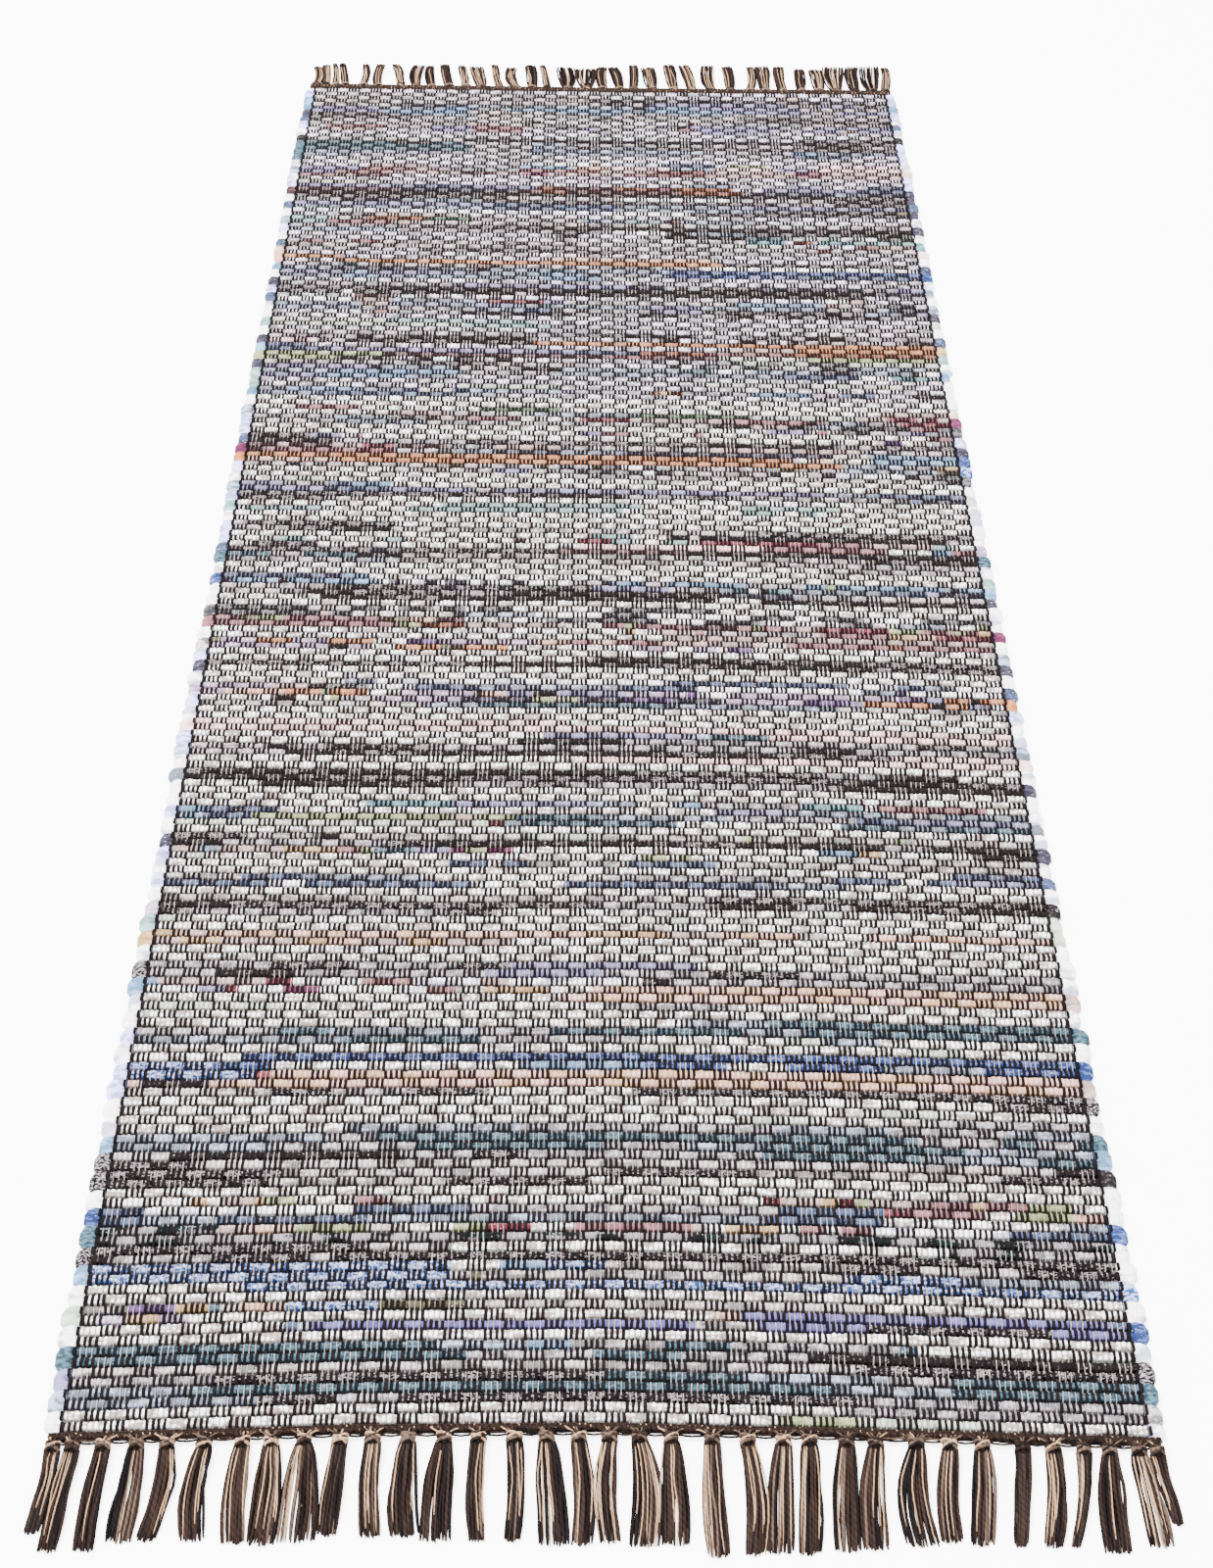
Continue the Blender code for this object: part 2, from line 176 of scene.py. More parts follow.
# The weft from the near end, a line for each row: the rags from left to right, and between two rags
# the place across the rug, in centimetres from its middle, where one gives way to the other
CHART = (
    "cream 11 lime 16 sage 25 cream",
    "cream 15 grey",
    "slate -22 speckle -17 grey -13 speckle 16 grey",
    "slate -26 teal 15 slate 22 teal",
    "grey -25 speckle 0 teal 9 slate 18 grey 22 teal",
    "ecru 16 speckle",
    "teal -9 grey -1 teal 5 grey 13 black",
    "teal -11 slate -5 sky -2 ecru 4 teal 8 grey 19 teal 20 cream",
    "cream",
    "cream -21 denim -20 white -19 iris 6 ecru 10 iris 17 speckle 29 iris",
    "cream -33 lilac -31 gold -29 lilac -27 cream 7 peach 9 iris 33 denim",
    "ecru -31 violet -28 gold -26 teal -25 ecru -24 peach -21 skyprint -15 olive -9 ecru 18 cream",
    "cream",
    "cream -24 skyprint",
    "skyprint -10 ecru -9 olive -8 ecru 16 skyprint 24 slate",
    "skyprint -10 cream -7 sky -4 skyprint 0 ecru 16 speckle 21 ecru 28 speckle",
    "black -33 ecru -26 speckle -20 ecru -18 speckle",
    "speckle -16 ecru -10 cream 23 pine 28 grey",
    "pine",
    "pine -26 pink -24 peach -21 lime -16 ecru -14 cream -10 lime -8 crimson -5 cream -2 rose 6 cream 8 "
    "gold 12 cream 13 rose 15 cream 16 rose 18 white 27 denim",
    "denim -31 slate -26 denim -16 slate 11 denim 19 cream 31 slate",
    "denim -31 white -17 denim -9 grey 12 denim 19 crimson 21 rose 26 cream 28 lime 32 peach",
    "cream -28 gold -27 cream -26 pink -24 gold -23 lime -21 cream -17 rose -15 cream -8 pink -7 cream 11 "
    "crimson 12 pink 15 gold 16 crimson 17 lime 18 pink 22 rose 25 gold 26 rose 29 lime 32 cream",
    "cream",
    "speckle -23 ecru -11 speckle -1 cream",
    "speckle -22 ecru 0 speckle 10 ecru 27 speckle",
    "speckle -28 ecru 31 black",
    "ecru -30 black -14 grey -9 speckle -6 grey 11 teal 22 slate 30 teal",
    "slate -23 grey -13 teal 0 grey 6 slate 11 teal 25 slate",
    "slate -19 grey -16 teal 22 grey 28 teal 30 grey 33 teal",
    "cream -18 slate -6 grey 12 slate 20 grey 28 slate",
    "cream 10 sage 15 cream 23 grey",
    "cream 19 sage 24 cream",
    "cream 28 speckle",
    "ecru -24 speckle -19 grey -14 speckle -8 cream 2 speckle",
    "peach -33 black -28 pastel",
    "skyprint -25 crimson -24 pastel",
    "royal -34 skyprint -28 royal -24 cream -6 sky 3 royal 9 cream 13 royal 20 slate 27 royal",
    "cream -26 royal",
    "cream 2 sage 6 cream 22 sage 26 cream",
    "slate -19 teal -9 grey 3 cream 13 sage 16 slate 20 cream",
    "grey -24 teal -20 slate -9 grey -4 teal 10 slate 15 teal",
    "cream 6 slate 12 teal",
    "cream",
    "sage -24 cream 0 grey 10 cream",
    "cream -3 pastel",
    "white -30 lavender -28 crimson -27 white -24 magenta -21 white -13 rose -11 cream -9 gold -4 cream -1 "
    "pastel",
    "sky -33 pink -25 crimson -23 white -18 rose -14 white -9 pink -7 white 3 black 5 grey",
    "grey -29 black -23 grey -9 lavender 0 grey 8 speckle 15 grey",
    "grey -25 speckle -19 grey -11 speckle -7 lavender 7 cream",
    "cream",
    "cream",
    "pink -32 gold -29 pink -23 gold -21 peach -18 pink -15 gold -12 pink -7 cream",
    "gold -32 pink -30 pastel 1 gold 5 pink 9 pastel 15 cream 20 pastel",
    "cream",
    "sage -32 cream 3 sage 7 cream",
    "speckle -32 grey -12 speckle -8 cream 16 sage 18 cream",
    "black -29 speckle 0 grey 8 black 15 grey 19 black 22 speckle 28 black",
    "ecru 8 speckle 32 black",
    "cream",
    "denim -26 white -23 denim -10 cream -3 denim 13 slate 19 cream",
    "ecru -28 denim -22 slate -14 cream 0 grey 15 ecru 18 denim 23 cream 25 denim 27 lavender",
    "cream 27 denim",
    "cream -12 denim -9 cream -8 denim -6 ecru 2 denim 9 ecru",
    "cream -33 sage -31 cream 3 lime 5 cream 6 lime 7 cream 17 sage 19 ecru",
    "pink -32 slate -30 pink -25 gold -21 rose -19 lime -18 teal -15 lavender -12 magenta -11 lime -9 "
    "magenta -7 cream 17 sky 20 gold 22 cream 29 black",
    "black -30 grey -17 speckle -14 black 6 speckle 11 black 22 grey 25 black",
    "speckle -28 ecru -23 black -21 ecru -6 sage 0 ecru 11 lime 12 ecru 23 lime 24 ecru",
    "cream",
    "sage -9 crimson -8 slate -6 teal 6 cream 19 teal 24 slate 27 teal",
    "sky -32 denim -28 lime -12 pink -10 lime -7 teal 0 slate 10 grey 20 denim 24 lavender",
    "sky -32 denim -26 cream 9 lavender 15 slate 23 grey 27 slate",
    "cream -19 turquoise -12 lavender -1 slate 3 cream 6 sky 8 grey 16 turquoise 21 cream 22 rose 31 cream",
    "cream",
    "cream",
    "cream -28 black -12 grey -6 speckle -3 grey 19 black",
    "black -24 speckle 20 black 29 speckle",
    "speckle -32 black -26 speckle -24 black 3 speckle 18 grey 23 black 29 cream",
    "cream",
    "cream -2 blush",
    "grey -26 black -20 speckle -15 black 6 speckle 9 black 14 speckle 24 blush",
    "ecru -28 black -25 grey -23 black -19 speckle -15 grey 16 black 21 grey",
    "cream -7 black 2 grey 26 speckle 30 grey",
    "cream -5 lavender 7 slate 9 teal 14 blush",
    "blush",
    "blush -3 cream",
    "cream",
    "cream",
    "ecru -15 slate -10 teal 6 slate 20 ecru",
    "cream -28 black -26 cream -23 lime -22 grey -19 lilac -12 navy -6 lime -4 cream -3 lime -2 navy 2 "
    "violet 6 navy 10 lilac 17 violet 20 lavender 22 orange 28 black 29 orange 31 lavender 32 navy 33 white",
    "lilac -32 peach -27 orange -24 lime -23 orange -20 cream -17 lilac -11 black -10 peach -8 lavender -6 "
    "black -4 lavender 2 lilac 7 violet 8 white 11 lilac 21 white 22 lilac 25 violet 27 lavender 29 orange "
    "31 black 32 orange",
    "lilac -28 pink -25 speckle -20 cream -16 denim -10 slate 2 denim 8 white 22 slate 25 violet 26 white",
    "cream -22 slate -19 white 6 denim 21 white 25 denim 27 slate 30 cream",
    "cream",
    "cream",
    "speckle -11 black 4 speckle 10 black 23 speckle",
    "cream -1 black 12 speckle 17 black 23 speckle",
    "cream",
    "lilac -24 black -22 lilac -20 cream -18 orange -14 olive -12 orange -8 cream 3 lilac 6 cream 8 lilac "
    "10 cream 11 violet 13 cream",
    "olive -33 lilac -30 orange -27 lilac -24 orange -20 cream -17 violet -14 lilac -6 peach -3 rose -1 "
    "peach 1 rose 5 peach 6 pink 8 peach 9 pink 13 peach 14 cream 16 rose 25 orange 26 rose",
    "cream 6 pink",
    "cream 2 gold 3 cream 5 pink 8 rose 9 ecru 19 rose 25 gold 27 peach 29 crimson",
    "rose -18 lime -16 rust -12 pink -3 cream 0 rose 2 lime 3 rose 7 maroon 12 rose 13 lime 14 rose 16 pink "
    "19 crimson 25 lime 28 rose 31 lime 32 rose 33 gold",
    "rose -32 olive -30 lime -28 rose -19 olive -17 peach -15 maroon -12 cream -5 charcoal 5 cream 9 "
    "charcoal 14 cream 21 charcoal 24 cream 26 slate 30 cream 33 lime",
    "charcoal -25 pink -24 charcoal -22 cream -13 charcoal -12 slate -6 white 0 charcoal 4 white 13 "
    "charcoal 17 white 19 charcoal 23 white 28 charcoal",
    "charcoal -26 ecru -22 charcoal -19 cream -18 charcoal -15 cream -14 charcoal -12 white -11 charcoal -8 "
    "cream 1 charcoal 10 cream",
    "cream",
    "cream -25 black -19 speckle -15 black 10 cream 14 black",
    "ecru -27 black -22 speckle -13 grey -9 black 11 navy 17 grey 25 ecru 33 grey",
    "ecru -24 black -21 speckle -14 navy -13 speckle -1 lavender 6 grey 11 teal 13 white 14 black 15 "
    "turquoise 17 slate 25 denim 29 lavender 30 navy",
    "navy -33 sky -29 navy -28 sky -20 white -19 navy -18 white -16 navy -15 white -14 navy -12 white -11 "
    "navy -10 white -8 navy -7 white -3 grey 0 navy 1 sky 4 grey 6 sky 13 grey 18 sky 20 lime 21 sky 31 "
    "navy 32 sky",
    "denim -23 sky -21 cream",
    "cream",
    "cream 20 ecru",
    "grey -23 slate -19 ecru 23 grey",
    "teal -30 grey -27 teal -22 black -18 ecru 24 black 26 speckle 29 black",
    "speckle -21 navy -19 speckle -4 maroon 7 black",
    "cream -32 speckle -26 cream -2 blush 15 rose 26 cream 30 sky 32 rose",
    "cream -30 mint -27 cream -20 mint -18 cream -8 maroon -7 cream -2 crimson 1 mint 3 cream 6 mint 8 "
    "cream 9 crimson 20 rose 24 pink 30 mint 32 cream",
    "cream -1 mint 3 cream 6 black 8 grey 9 black 32 grey",
    "ecru -28 speckle -24 black -19 ecru 15 speckle",
    "cream -33 speckle -19 cream",
    "cream",
    "cream",
    "cream -33 mint -26 cream -18 mint 2 cream 13 mint 16 cream 19 mint 20 cream",
    "cream -15 mint 4 cream 13 mint 22 cream",
    "speckle -26 ecru -21 cream 25 sage 29 cream",
    "speckle -14 black -13 speckle -6 black 2 grey 8 speckle 12 ecru 29 denim 30 navy",
    "lavender -26 denim -20 lavender -12 grey -10 lavender 21 slate 26 denim",
    "lavender -30 grey -26 denim -24 sky -20 cream",
    "cream -30 sage -26 cream 4 sage 7 cream",
    "cream -3 ecru 25 charcoal 26 ecru 32 charcoal",
    "cream -20 ecru -10 lavender -7 grey -2 charcoal 1 ecru 2 charcoal 4 white 5 charcoal 7 ecru 16 "
    "charcoal 17 cream 21 charcoal 22 white 29 charcoal 30 ecru 32 charcoal",
    "ecru -30 speckle -28 ecru -15 olive -13 grey -6 olive -5 grey -1 olive 0 charcoal 2 white 4 slate 6 "
    "ecru 17 olive 19 ecru 23 slate 27 charcoal 28 slate 32 olive",
    "peach -25 orange 23 slate 29 ecru 32 gold",
    "orange 18 cream 20 peach 22 cream 26 sky",
    "maroon -32 rose -23 crimson -20 ecru -14 slate -10 navy -4 slate 2 navy 22 ecru 26 sky",
    "maroon -31 pink -30 maroon -26 pink -23 crimson -20 ecru -19 maroon -15 grey -10 pink -4 ecru 10 pink "
    "25 ecru",
    "grey -33 black -26 grey -13 speckle 10 black 15 speckle 19 black 23 grey 26 speckle",
    "black -31 speckle -28 lavender -25 cream -24 rose -23 cream 27 violet 29 cream 32 grey",
    "cream -2 lavender 0 rose 3 cream 9 rose 10 cream 32 rose",
    "cream 16 lavender 20 cream 21 rose 22 ecru 24 charcoal 26 grey 29 lavender 32 grey",
    "ecru -26 slate -17 ecru 11 black 15 pink 18 black 21 slate 23 charcoal 30 rose 33 charcoal",
    "grey -26 slate -21 speckle -16 pink -13 rose -8 cream -2 crimson 3 pink 13 rose 20 maroon 22 slate 26 "
    "grey 29 crimson",
    "cream -20 pink -15 grey -11 sage -7 slate 4 green 15 sage 25 pink 28 crimson 31 pink 32 crimson 33 "
    "pink",
    "cream -30 rose -24 cream -12 green -4 cream 27 pink",
    "cream",
    "cream",
    "slate -28 denim -19 sky -18 denim -15 slate -10 chalk",
    "slate -31 sky -24 slate -20 denim -18 ecru -15 denim -13 slate -2 grey 5 rust 6 gold 7 rust 8 grey 15 "
    "sky 21 grey 24 denim 27 chalk 31 black 34 grey",
    "chalk -14 sage -4 chalk",
    "chalk 10 sage 30 chalk",
    "lavender -28 sky -19 slate -15 chalk 20 slate 22 chalk",
    "slate -27 sky -14 grey -5 slate 18 denim 26 white 29 turquoise 33 slate",
    "lavender -23 navy -22 slate -15 black -14 ecru -8 black -4 slate 9 teal 11 white 15 slate 22 navy 26 "
    "slate 31 navy 32 white",
    "ecru -31 grey -19 speckle -10 ecru -4 pink -3 chalk 7 charcoal 8 white 10 charcoal 12 grey 14 charcoal "
    "17 ecru 22 charcoal 26 slate 33 grey",
    "lime -27 black -24 ecru -23 black -21 chalk -19 black -17 white -15 black -13 chalk -11 black -9 chalk "
    "5 charcoal 6 chalk 13 charcoal 14 sage 17 charcoal 18 sage 21 charcoal 25 sage",
    "lime -22 maroon 1 rose 5 maroon 12 sage 21 lime",
    "denim -28 lavender -2 denim 4 rust 11 rose 19 rust",
    "denim -30 chalk 13 pink 20 orange",
    "blush -29 ecru -26 black -20 speckle -15 black -11 speckle -7 orange",
    "ecru -32 speckle -28 ecru -25 black -23 ecru -21 black -7 chalk 6 black 8 chalk 14 black 16 chalk 19 "
    "black 20 ecru 31 black",
    "ecru -6 grey -3 speckle 2 black 10 grey 15 speckle 18 grey 21 black 25 ecru 27 grey",
    "chalk",
    "sage -14 mint -5 grey 4 ecru",
    "sage -22 mint -12 slate -11 mint -7 chalk",
    "chalk",
    "chalk -24 rose -22 grey -15 black -3 grey 4 black 8 grey 13 black 16 ecru 19 black 21 grey 23 black 29 "
    "grey",
    "slate -25 grey -13 slate -8 denim -5 grey 5 navy 6 lavender 11 speckle 23 black 25 grey 27 slate 31 "
    "navy 33 lavender",
    "slate -25 pink -22 slate -13 lavender -9 slate 4 lavender 10 slate 23 grey 29 slate 31 navy",
    "white -26 pink -22 slate -13 chalk -12 crimson -6 lavender -4 ecru 14 sky 23 pink 25 grey 30 navy 33 "
    "white",
    "chalk -26 maroon -22 chalk 20 white 26 pink 28 chalk",
    "speckle -27 white -26 speckle -21 black -9 grey -7 black 24 speckle 28 chalk",
    "speckle -24 black 29 navy",
    "grey -15 lavender 3 navy 7 grey 11 speckle 17 navy 28 grey 31 lavender",
    "chalk",
    "slate -27 sky -24 slate -6 sky 0 chalk",
    "lavender -29 slate -27 sky -25 lavender -15 slate -7 sky -2 navy 0 grey 5 slate 7 royal 16 lavender 17 "
    "royal 18 lavender 20 denim",
    "slate -28 navy -16 slate -14 black -12 slate -6 teal -3 slate 7 royal",
    "ecru -28 teal -26 ecru -24 black -23 ecru -13 speckle -11 ecru 1 speckle 6 grey 11 white",
    "chalk -28 orange 13 speckle 33 chalk",
    "orange -28 chalk -6 peach 12 chalk",
    "chalk",
    "ecru -19 speckle 2 grey 21 ecru",
    "ecru 23 rose 25 ecru",
    "ecru -32 rose -30 ecru -27 rose -24 ecru -11 speckle -8 ecru 13 sage 20 chalk 28 rose 30 pink",
    "chalk 16 turquoise 20 chalk 21 rust 23 chalk 24 turquoise 28 mint",
    "chalk -5 black -2 chalk 7 black 16 teal 20 chalk 24 mint 26 chalk 30 charcoal",
    "slate -22 grey -5 speckle 0 white 7 black 10 slate 14 denim 16 speckle 28 black",
    "grey -20 speckle -7 black -5 ecru -4 black",
    "mint -30 rose -23 pink -20 ecru",
    "mint -30 ecru -26 rust -19 green -14 ecru -2 slate 3 mint 7 maroon 9 slate 16 chalk",
    "chalk -29 speckle -25 pink -16 chalk",
    "white 10 speckle",
    "slate -21 navy -19 slate -13 denim 2 slate 18 speckle 32 olive",
    "lavender -12 denim 2 slate 16 lavender",
    "grey -29 navy -22 slate -13 speckle 20 grey 26 speckle",
    "speckle -10 ecru 2 white 14 ecru 22 grey 25 speckle",
    "maroon -30 black 26 speckle",
    "maroon -22 navy -9 maroon -7 rust -4 maroon 9 rust 16 navy 26 slate 29 navy",
    "lavender -21 denim -14 lavender -7 rust -4 maroon 2 rust 6 crimson 8 rust 15 chalk 18 lavender 29 "
    "denim",
    "sage -24 chalk 10 slate 15 chalk 21 lavender 25 chalk 30 denim",
    "chalk",
    "rose -30 pink -28 maroon -24 chalk",
    "lavender -30 rose -24 pink -16 maroon -12 pink -9 magenta -6 pink 3 rose 12 pink 22 rose 25 pink",
    "lavender -27 rose -21 pink -18 grey -9 rose 0 pink 6 crimson 12 pink 22 magenta 25 pink",
    "chalk -26 pink -19 grey -9 sky -3 peach 1 blush 8 slate 13 blush 20 lavender 24 blush",
    "chalk -8 white -1 peach 0 white 7 denim 13 chalk 15 lime 19 chalk 25 blush",
    "chalk",
    "slate -28 chalk",
    "slate -18 ecru -8 slate 10 grey 22 denim 29 chalk",
    "teal -15 ecru -8 denim -6 slate 12 grey 22 sky 25 slate",
    "teal -15 grey -8 slate -3 speckle 0 slate 6 speckle",
    "teal -24 black -19 teal -16 grey -8 slate -5 grey 24 black 30 grey",
    "ecru -16 black 26 speckle",
    "chalk 23 speckle",
    "chalk",
    "chalk -32 pink -26 chalk -20 lavender -15 rose -9 chalk 12 lavender 17 chalk",
    "chalk -32 rose -25 grey -20 lavender -15 rose -9 ecru -5 charcoal -2 lavender 0 ecru 9 rose 11 "
    "lavender 20 chalk 23 lavender 28 pink 30 lavender",
    "ecru -16 pink -10 ecru -5 charcoal -4 ecru 7 lavender 8 black 10 lavender 22 chalk 25 lavender",
    "ecru -17 navy -16 ecru -9 black -7 chalk 10 maroon 11 ecru 28 speckle 30 ecru 33 black",
    "speckle -22 ecru -1 black 1 ecru 19 speckle",
    "ecru -33 black -31 speckle -24 slate -15 ecru 17 speckle 24 grey",
    "lavender -25 sky -16 ecru -5 slate 0 sky 2 grey 9 slate 15 grey",
    "lavender -26 slate -19 sky -15 grey -11 sky 4 teal 6 sky 17 lavender 25 grey 28 lavender",
    "ecru -24 navy -16 slate -11 charcoal -9 slate 4 navy 6 sky 11 lavender 24 ecru",
    "ecru -25 grey -5 ecru 1 black 3 grey 5 navy 6 lavender 22 ecru 25 black 26 lavender 30 speckle",
    "ecru -2 speckle 4 black 7 speckle 10 black 15 speckle 32 ecru",
    "ecru -1 chalk 21 pink 24 chalk",
    "chalk",
)

# The rags that turn back at the two selvages, from the near end. At the right a loose rag end comes
# first and last
LEFT_LOOPS = (
    "white slate lavender teal white sage white sky speckle teal royal white speckle speckle sky "
    "white white mist mist white mist white white sky speckle white gold mint grey white "
    "mist white mist navy white mist white white slate white mist mist blush "
    "white mist lilac white navy mist ecru white rose charcoal white white royal white teal "
    "denim mist mist white mint mist slate white mist orange magenta denim mist "
    "mist slate white sky mint mint navy lime sky navy white mint white white denim mist navy "
    "white sky peach peach teal white mist mint white denim white maroon mist white slate "
    "white teal teal teal black white mist denim navy sky sky mist"
)
RIGHT_LOOPS = (
    "white grey teal speckle white royal white skyprint white white royal white white black sky teal "
    "white speckle pink royal white teal white pink white white white sage sage black white denim "
    "white navy white slate white white navy white blush slate white white mist orange denim "
    "white navy slate white magenta white white navy sky mint white teal lilac white white white "
    "white sage white charcoal skyprint royal navy mist charcoal magenta blush white white white "
    "sky white mint gold denim white sage navy slate white slate white royal denim white blush "
    "turquoise white navy white navy denim navy navy mist mist blush white mist mist "
    "mist black white denim white mist sky mist mist"
)


def bow(across, along):
    """How far rows that cross the centre line at along stray from it at across, by row and place."""
    stations, *columns = np.array(BOW).T
    shifts = np.array([np.interp(along, stations, column) for column in columns]).T
    return np.array([np.interp(across, BOW_ACROSS, shift) for shift in shifts])


def line_along(line):
    """Where row lines cross the centre line. Even lines are valleys, odd ones crests."""
    line = np.asarray(line, dtype=float)
    rows, places = np.array(ROW_PLACES).T
    wander = ROW_WANDER * (0.6 * np.sin(2.1 * line) + 0.4 * np.sin(0.83 * line + 1.0))
    held = np.minimum(1.0, np.minimum(line, 2 * ROW_COUNT - line))
    return np.interp(line / 2, rows, places) + wander * held


def waves(rng, count, places, lengths, size):
    """Smooth unevenness along places: for each of count lines, sine waves of random phase."""
    total = np.zeros((count, len(places)))
    for length in lengths:
        phase = rng.uniform(0.0, 2.0 * math.pi, (count, 1))
        stretch = rng.uniform(0.75, 1.35, (count, 1))
        total += np.sin(2.0 * math.pi * places[None, :] / (length * stretch) + phase)
    return size * total / math.sqrt(len(lengths))


def cloth_numbers(words):
    """The places in CLOTHS of some cloths' names."""
    names = [row[0] for row in CLOTHS]
    return np.array([names.index(word) for word in words])


def bulk(kinds):
    """The bulk of the rags with these numbers, against an ordinary rag."""
    return np.array([row[-1] for row in CLOTHS])[kinds]


def read_chart(places):
    """The cloth's number for each row at each place across the width."""
    chart = np.zeros((ROW_COUNT, len(places)), dtype=int)
    for row, line in enumerate(CHART):
        words = line.split()
        turns = [float(word) * CM for word in words[1::2]]
        chart[row] = cloth_numbers(words[0::2])[np.searchsorted(turns, places)]
    return chart


# ---------------------------------------------------------------- materials

LIGHT_LEVEL = 6.0           # brightness of a white surface that lies in the studio's light
VIEW_SCALE = 0.214          # of the curve that is the reverse of the view's
VIEW_POWER = 1.23           # and its power
# Painted shade: rag colours darken low down between the rows and where the warps press the rag in
GAP_LOW = 0.0042            # below this height the rag gets painted shade, as in the dark of a gap
GAP_HIGH = 0.0062           # and above this one it has no painted shade
GAP_SHADE_TONE = 0.10             # brightness of the painted shade in the gap
GAP_END = 0.0015            # outside the outermost warp the gaps' painted shade fades over this length
FLECK_EDGE = 0.74           # of the noise from which flecks are cut
FLECK_COLOUR = (226, 222, 220)
SPOT_STRETCH = 2.2          # a spot's length along the row against its width


def shader_colour(colour, factor=1.0):
    """The base colour that shows as an sRGB colour, from 0 to 255, once it is lit and viewed.

    Blender's standard view lifts dark tones and evens out light ones. This is the reverse of its
    curve, in the light of this studio.
    """
    share = np.clip(np.array(colour) / 255.0, 0.02, 0.97)
    level = VIEW_SCALE * (share / (1.0 - share)) ** VIEW_POWER
    return (*np.clip(factor * level / LIGHT_LEVEL, 0.003, 0.90).tolist(), 1.0)


class Nodes:
    """A material's node tree, with short ways of adding the nodes used here."""

    def __init__(self, name, roughness):
        self.material = bpy.data.materials.new(name)
        self.material.use_nodes = True
        self.tree = self.material.node_tree
        self.shader = self.tree.nodes["Principled BSDF"]
        self.shader.inputs["Roughness"].default_value = roughness
        self.shader.inputs["Specular IOR Level"].default_value = 0.0
        self.place = self.tree.nodes.new("ShaderNodeTexCoord").outputs["Object"]

    def link(self, start, end):
        self.tree.links.new(start, end)

    def stretched(self, scale, turn=0.0):
        """The object's own place, scaled along each axis and turned about Z."""
        node = self.tree.nodes.new("ShaderNodeMapping")
        node.inputs["Scale"].default_value = scale
        node.inputs["Rotation"].default_value = (0.0, 0.0, turn)
        self.link(self.place, node.inputs["Vector"])
        return node.outputs["Vector"]

    def noise(self, vector, detail=2.0):
        node = self.tree.nodes.new("ShaderNodeTexNoise")
        node.inputs["Scale"].default_value = 1.0
        node.inputs["Detail"].default_value = detail
        self.link(vector, node.inputs["Vector"])
        return node.outputs["Fac"]

    def ramp(self, value, low, high, start=0.0):
        """start below low, 1 above high, and smooth between them."""
        node = self.tree.nodes.new("ShaderNodeMapRange")
        node.interpolation_type = "SMOOTHSTEP"
        node.inputs["From Min"].default_value = low
        node.inputs["From Max"].default_value = high
        node.inputs["To Min"].default_value = start
        self.link(value, node.inputs["Value"])
        return node.outputs["Result"]

    def mix(self, share, first, second, blend="MIX"):
        """Two colours mixed, each a colour or another node's output."""
        node = self.tree.nodes.new("ShaderNodeMix")
        node.data_type = "RGBA"
        node.blend_type = blend
        for value, name in ((share, "Factor_Float"), (first, "A_Color"), (second, "B_Color")):
            socket = next(item for item in node.inputs if item.identifier == name)
            if isinstance(value, (tuple, float)):
                socket.default_value = value
            else:
                self.link(value, socket)
        return next(item for item in node.outputs if item.identifier == "Result_Color")

    def math(self, operation, first, second):
        node = self.tree.nodes.new("ShaderNodeMath")
        node.operation = operation
        for value, socket in ((first, node.inputs[0]), (second, node.inputs[1])):
            if isinstance(value, float):
                socket.default_value = value
            else:
                self.link(value, socket)
        return node.outputs["Value"]

    def gaps(self, colour):
        """The colour with painted shade low down between the rows and in the dips under the warps, but not
        on the selvage loops.
        """
        axes = self.tree.nodes.new("ShaderNodeSeparateXYZ")
        self.link(self.place, axes.inputs["Vector"])
        height = self.ramp(axes.outputs["Z"], GAP_LOW, GAP_HIGH, GAP_SHADE_TONE)
        aside = self.math("ABSOLUTE", axes.outputs["X"], 0.0)
        outside = self.ramp(aside, WARP_WIDTH / 2, WARP_WIDTH / 2 + GAP_END)
        return self.mix(1.0, colour, self.math("MAXIMUM", height, outside), "MULTIPLY")

    def bump(self, height, depth, strength, below=None):
        node = self.tree.nodes.new("ShaderNodeBump")
        node.inputs["Distance"].default_value = depth
        node.inputs["Strength"].default_value = strength
        self.link(height, node.inputs["Height"])
        if below is not None:
            self.link(below, node.inputs["Normal"])
        return node.outputs["Normal"]

    def finish(self, colour, normal):
        self.link(colour, self.shader.inputs["Base Color"])
        self.link(normal, self.shader.inputs["Normal"])
        return self.material


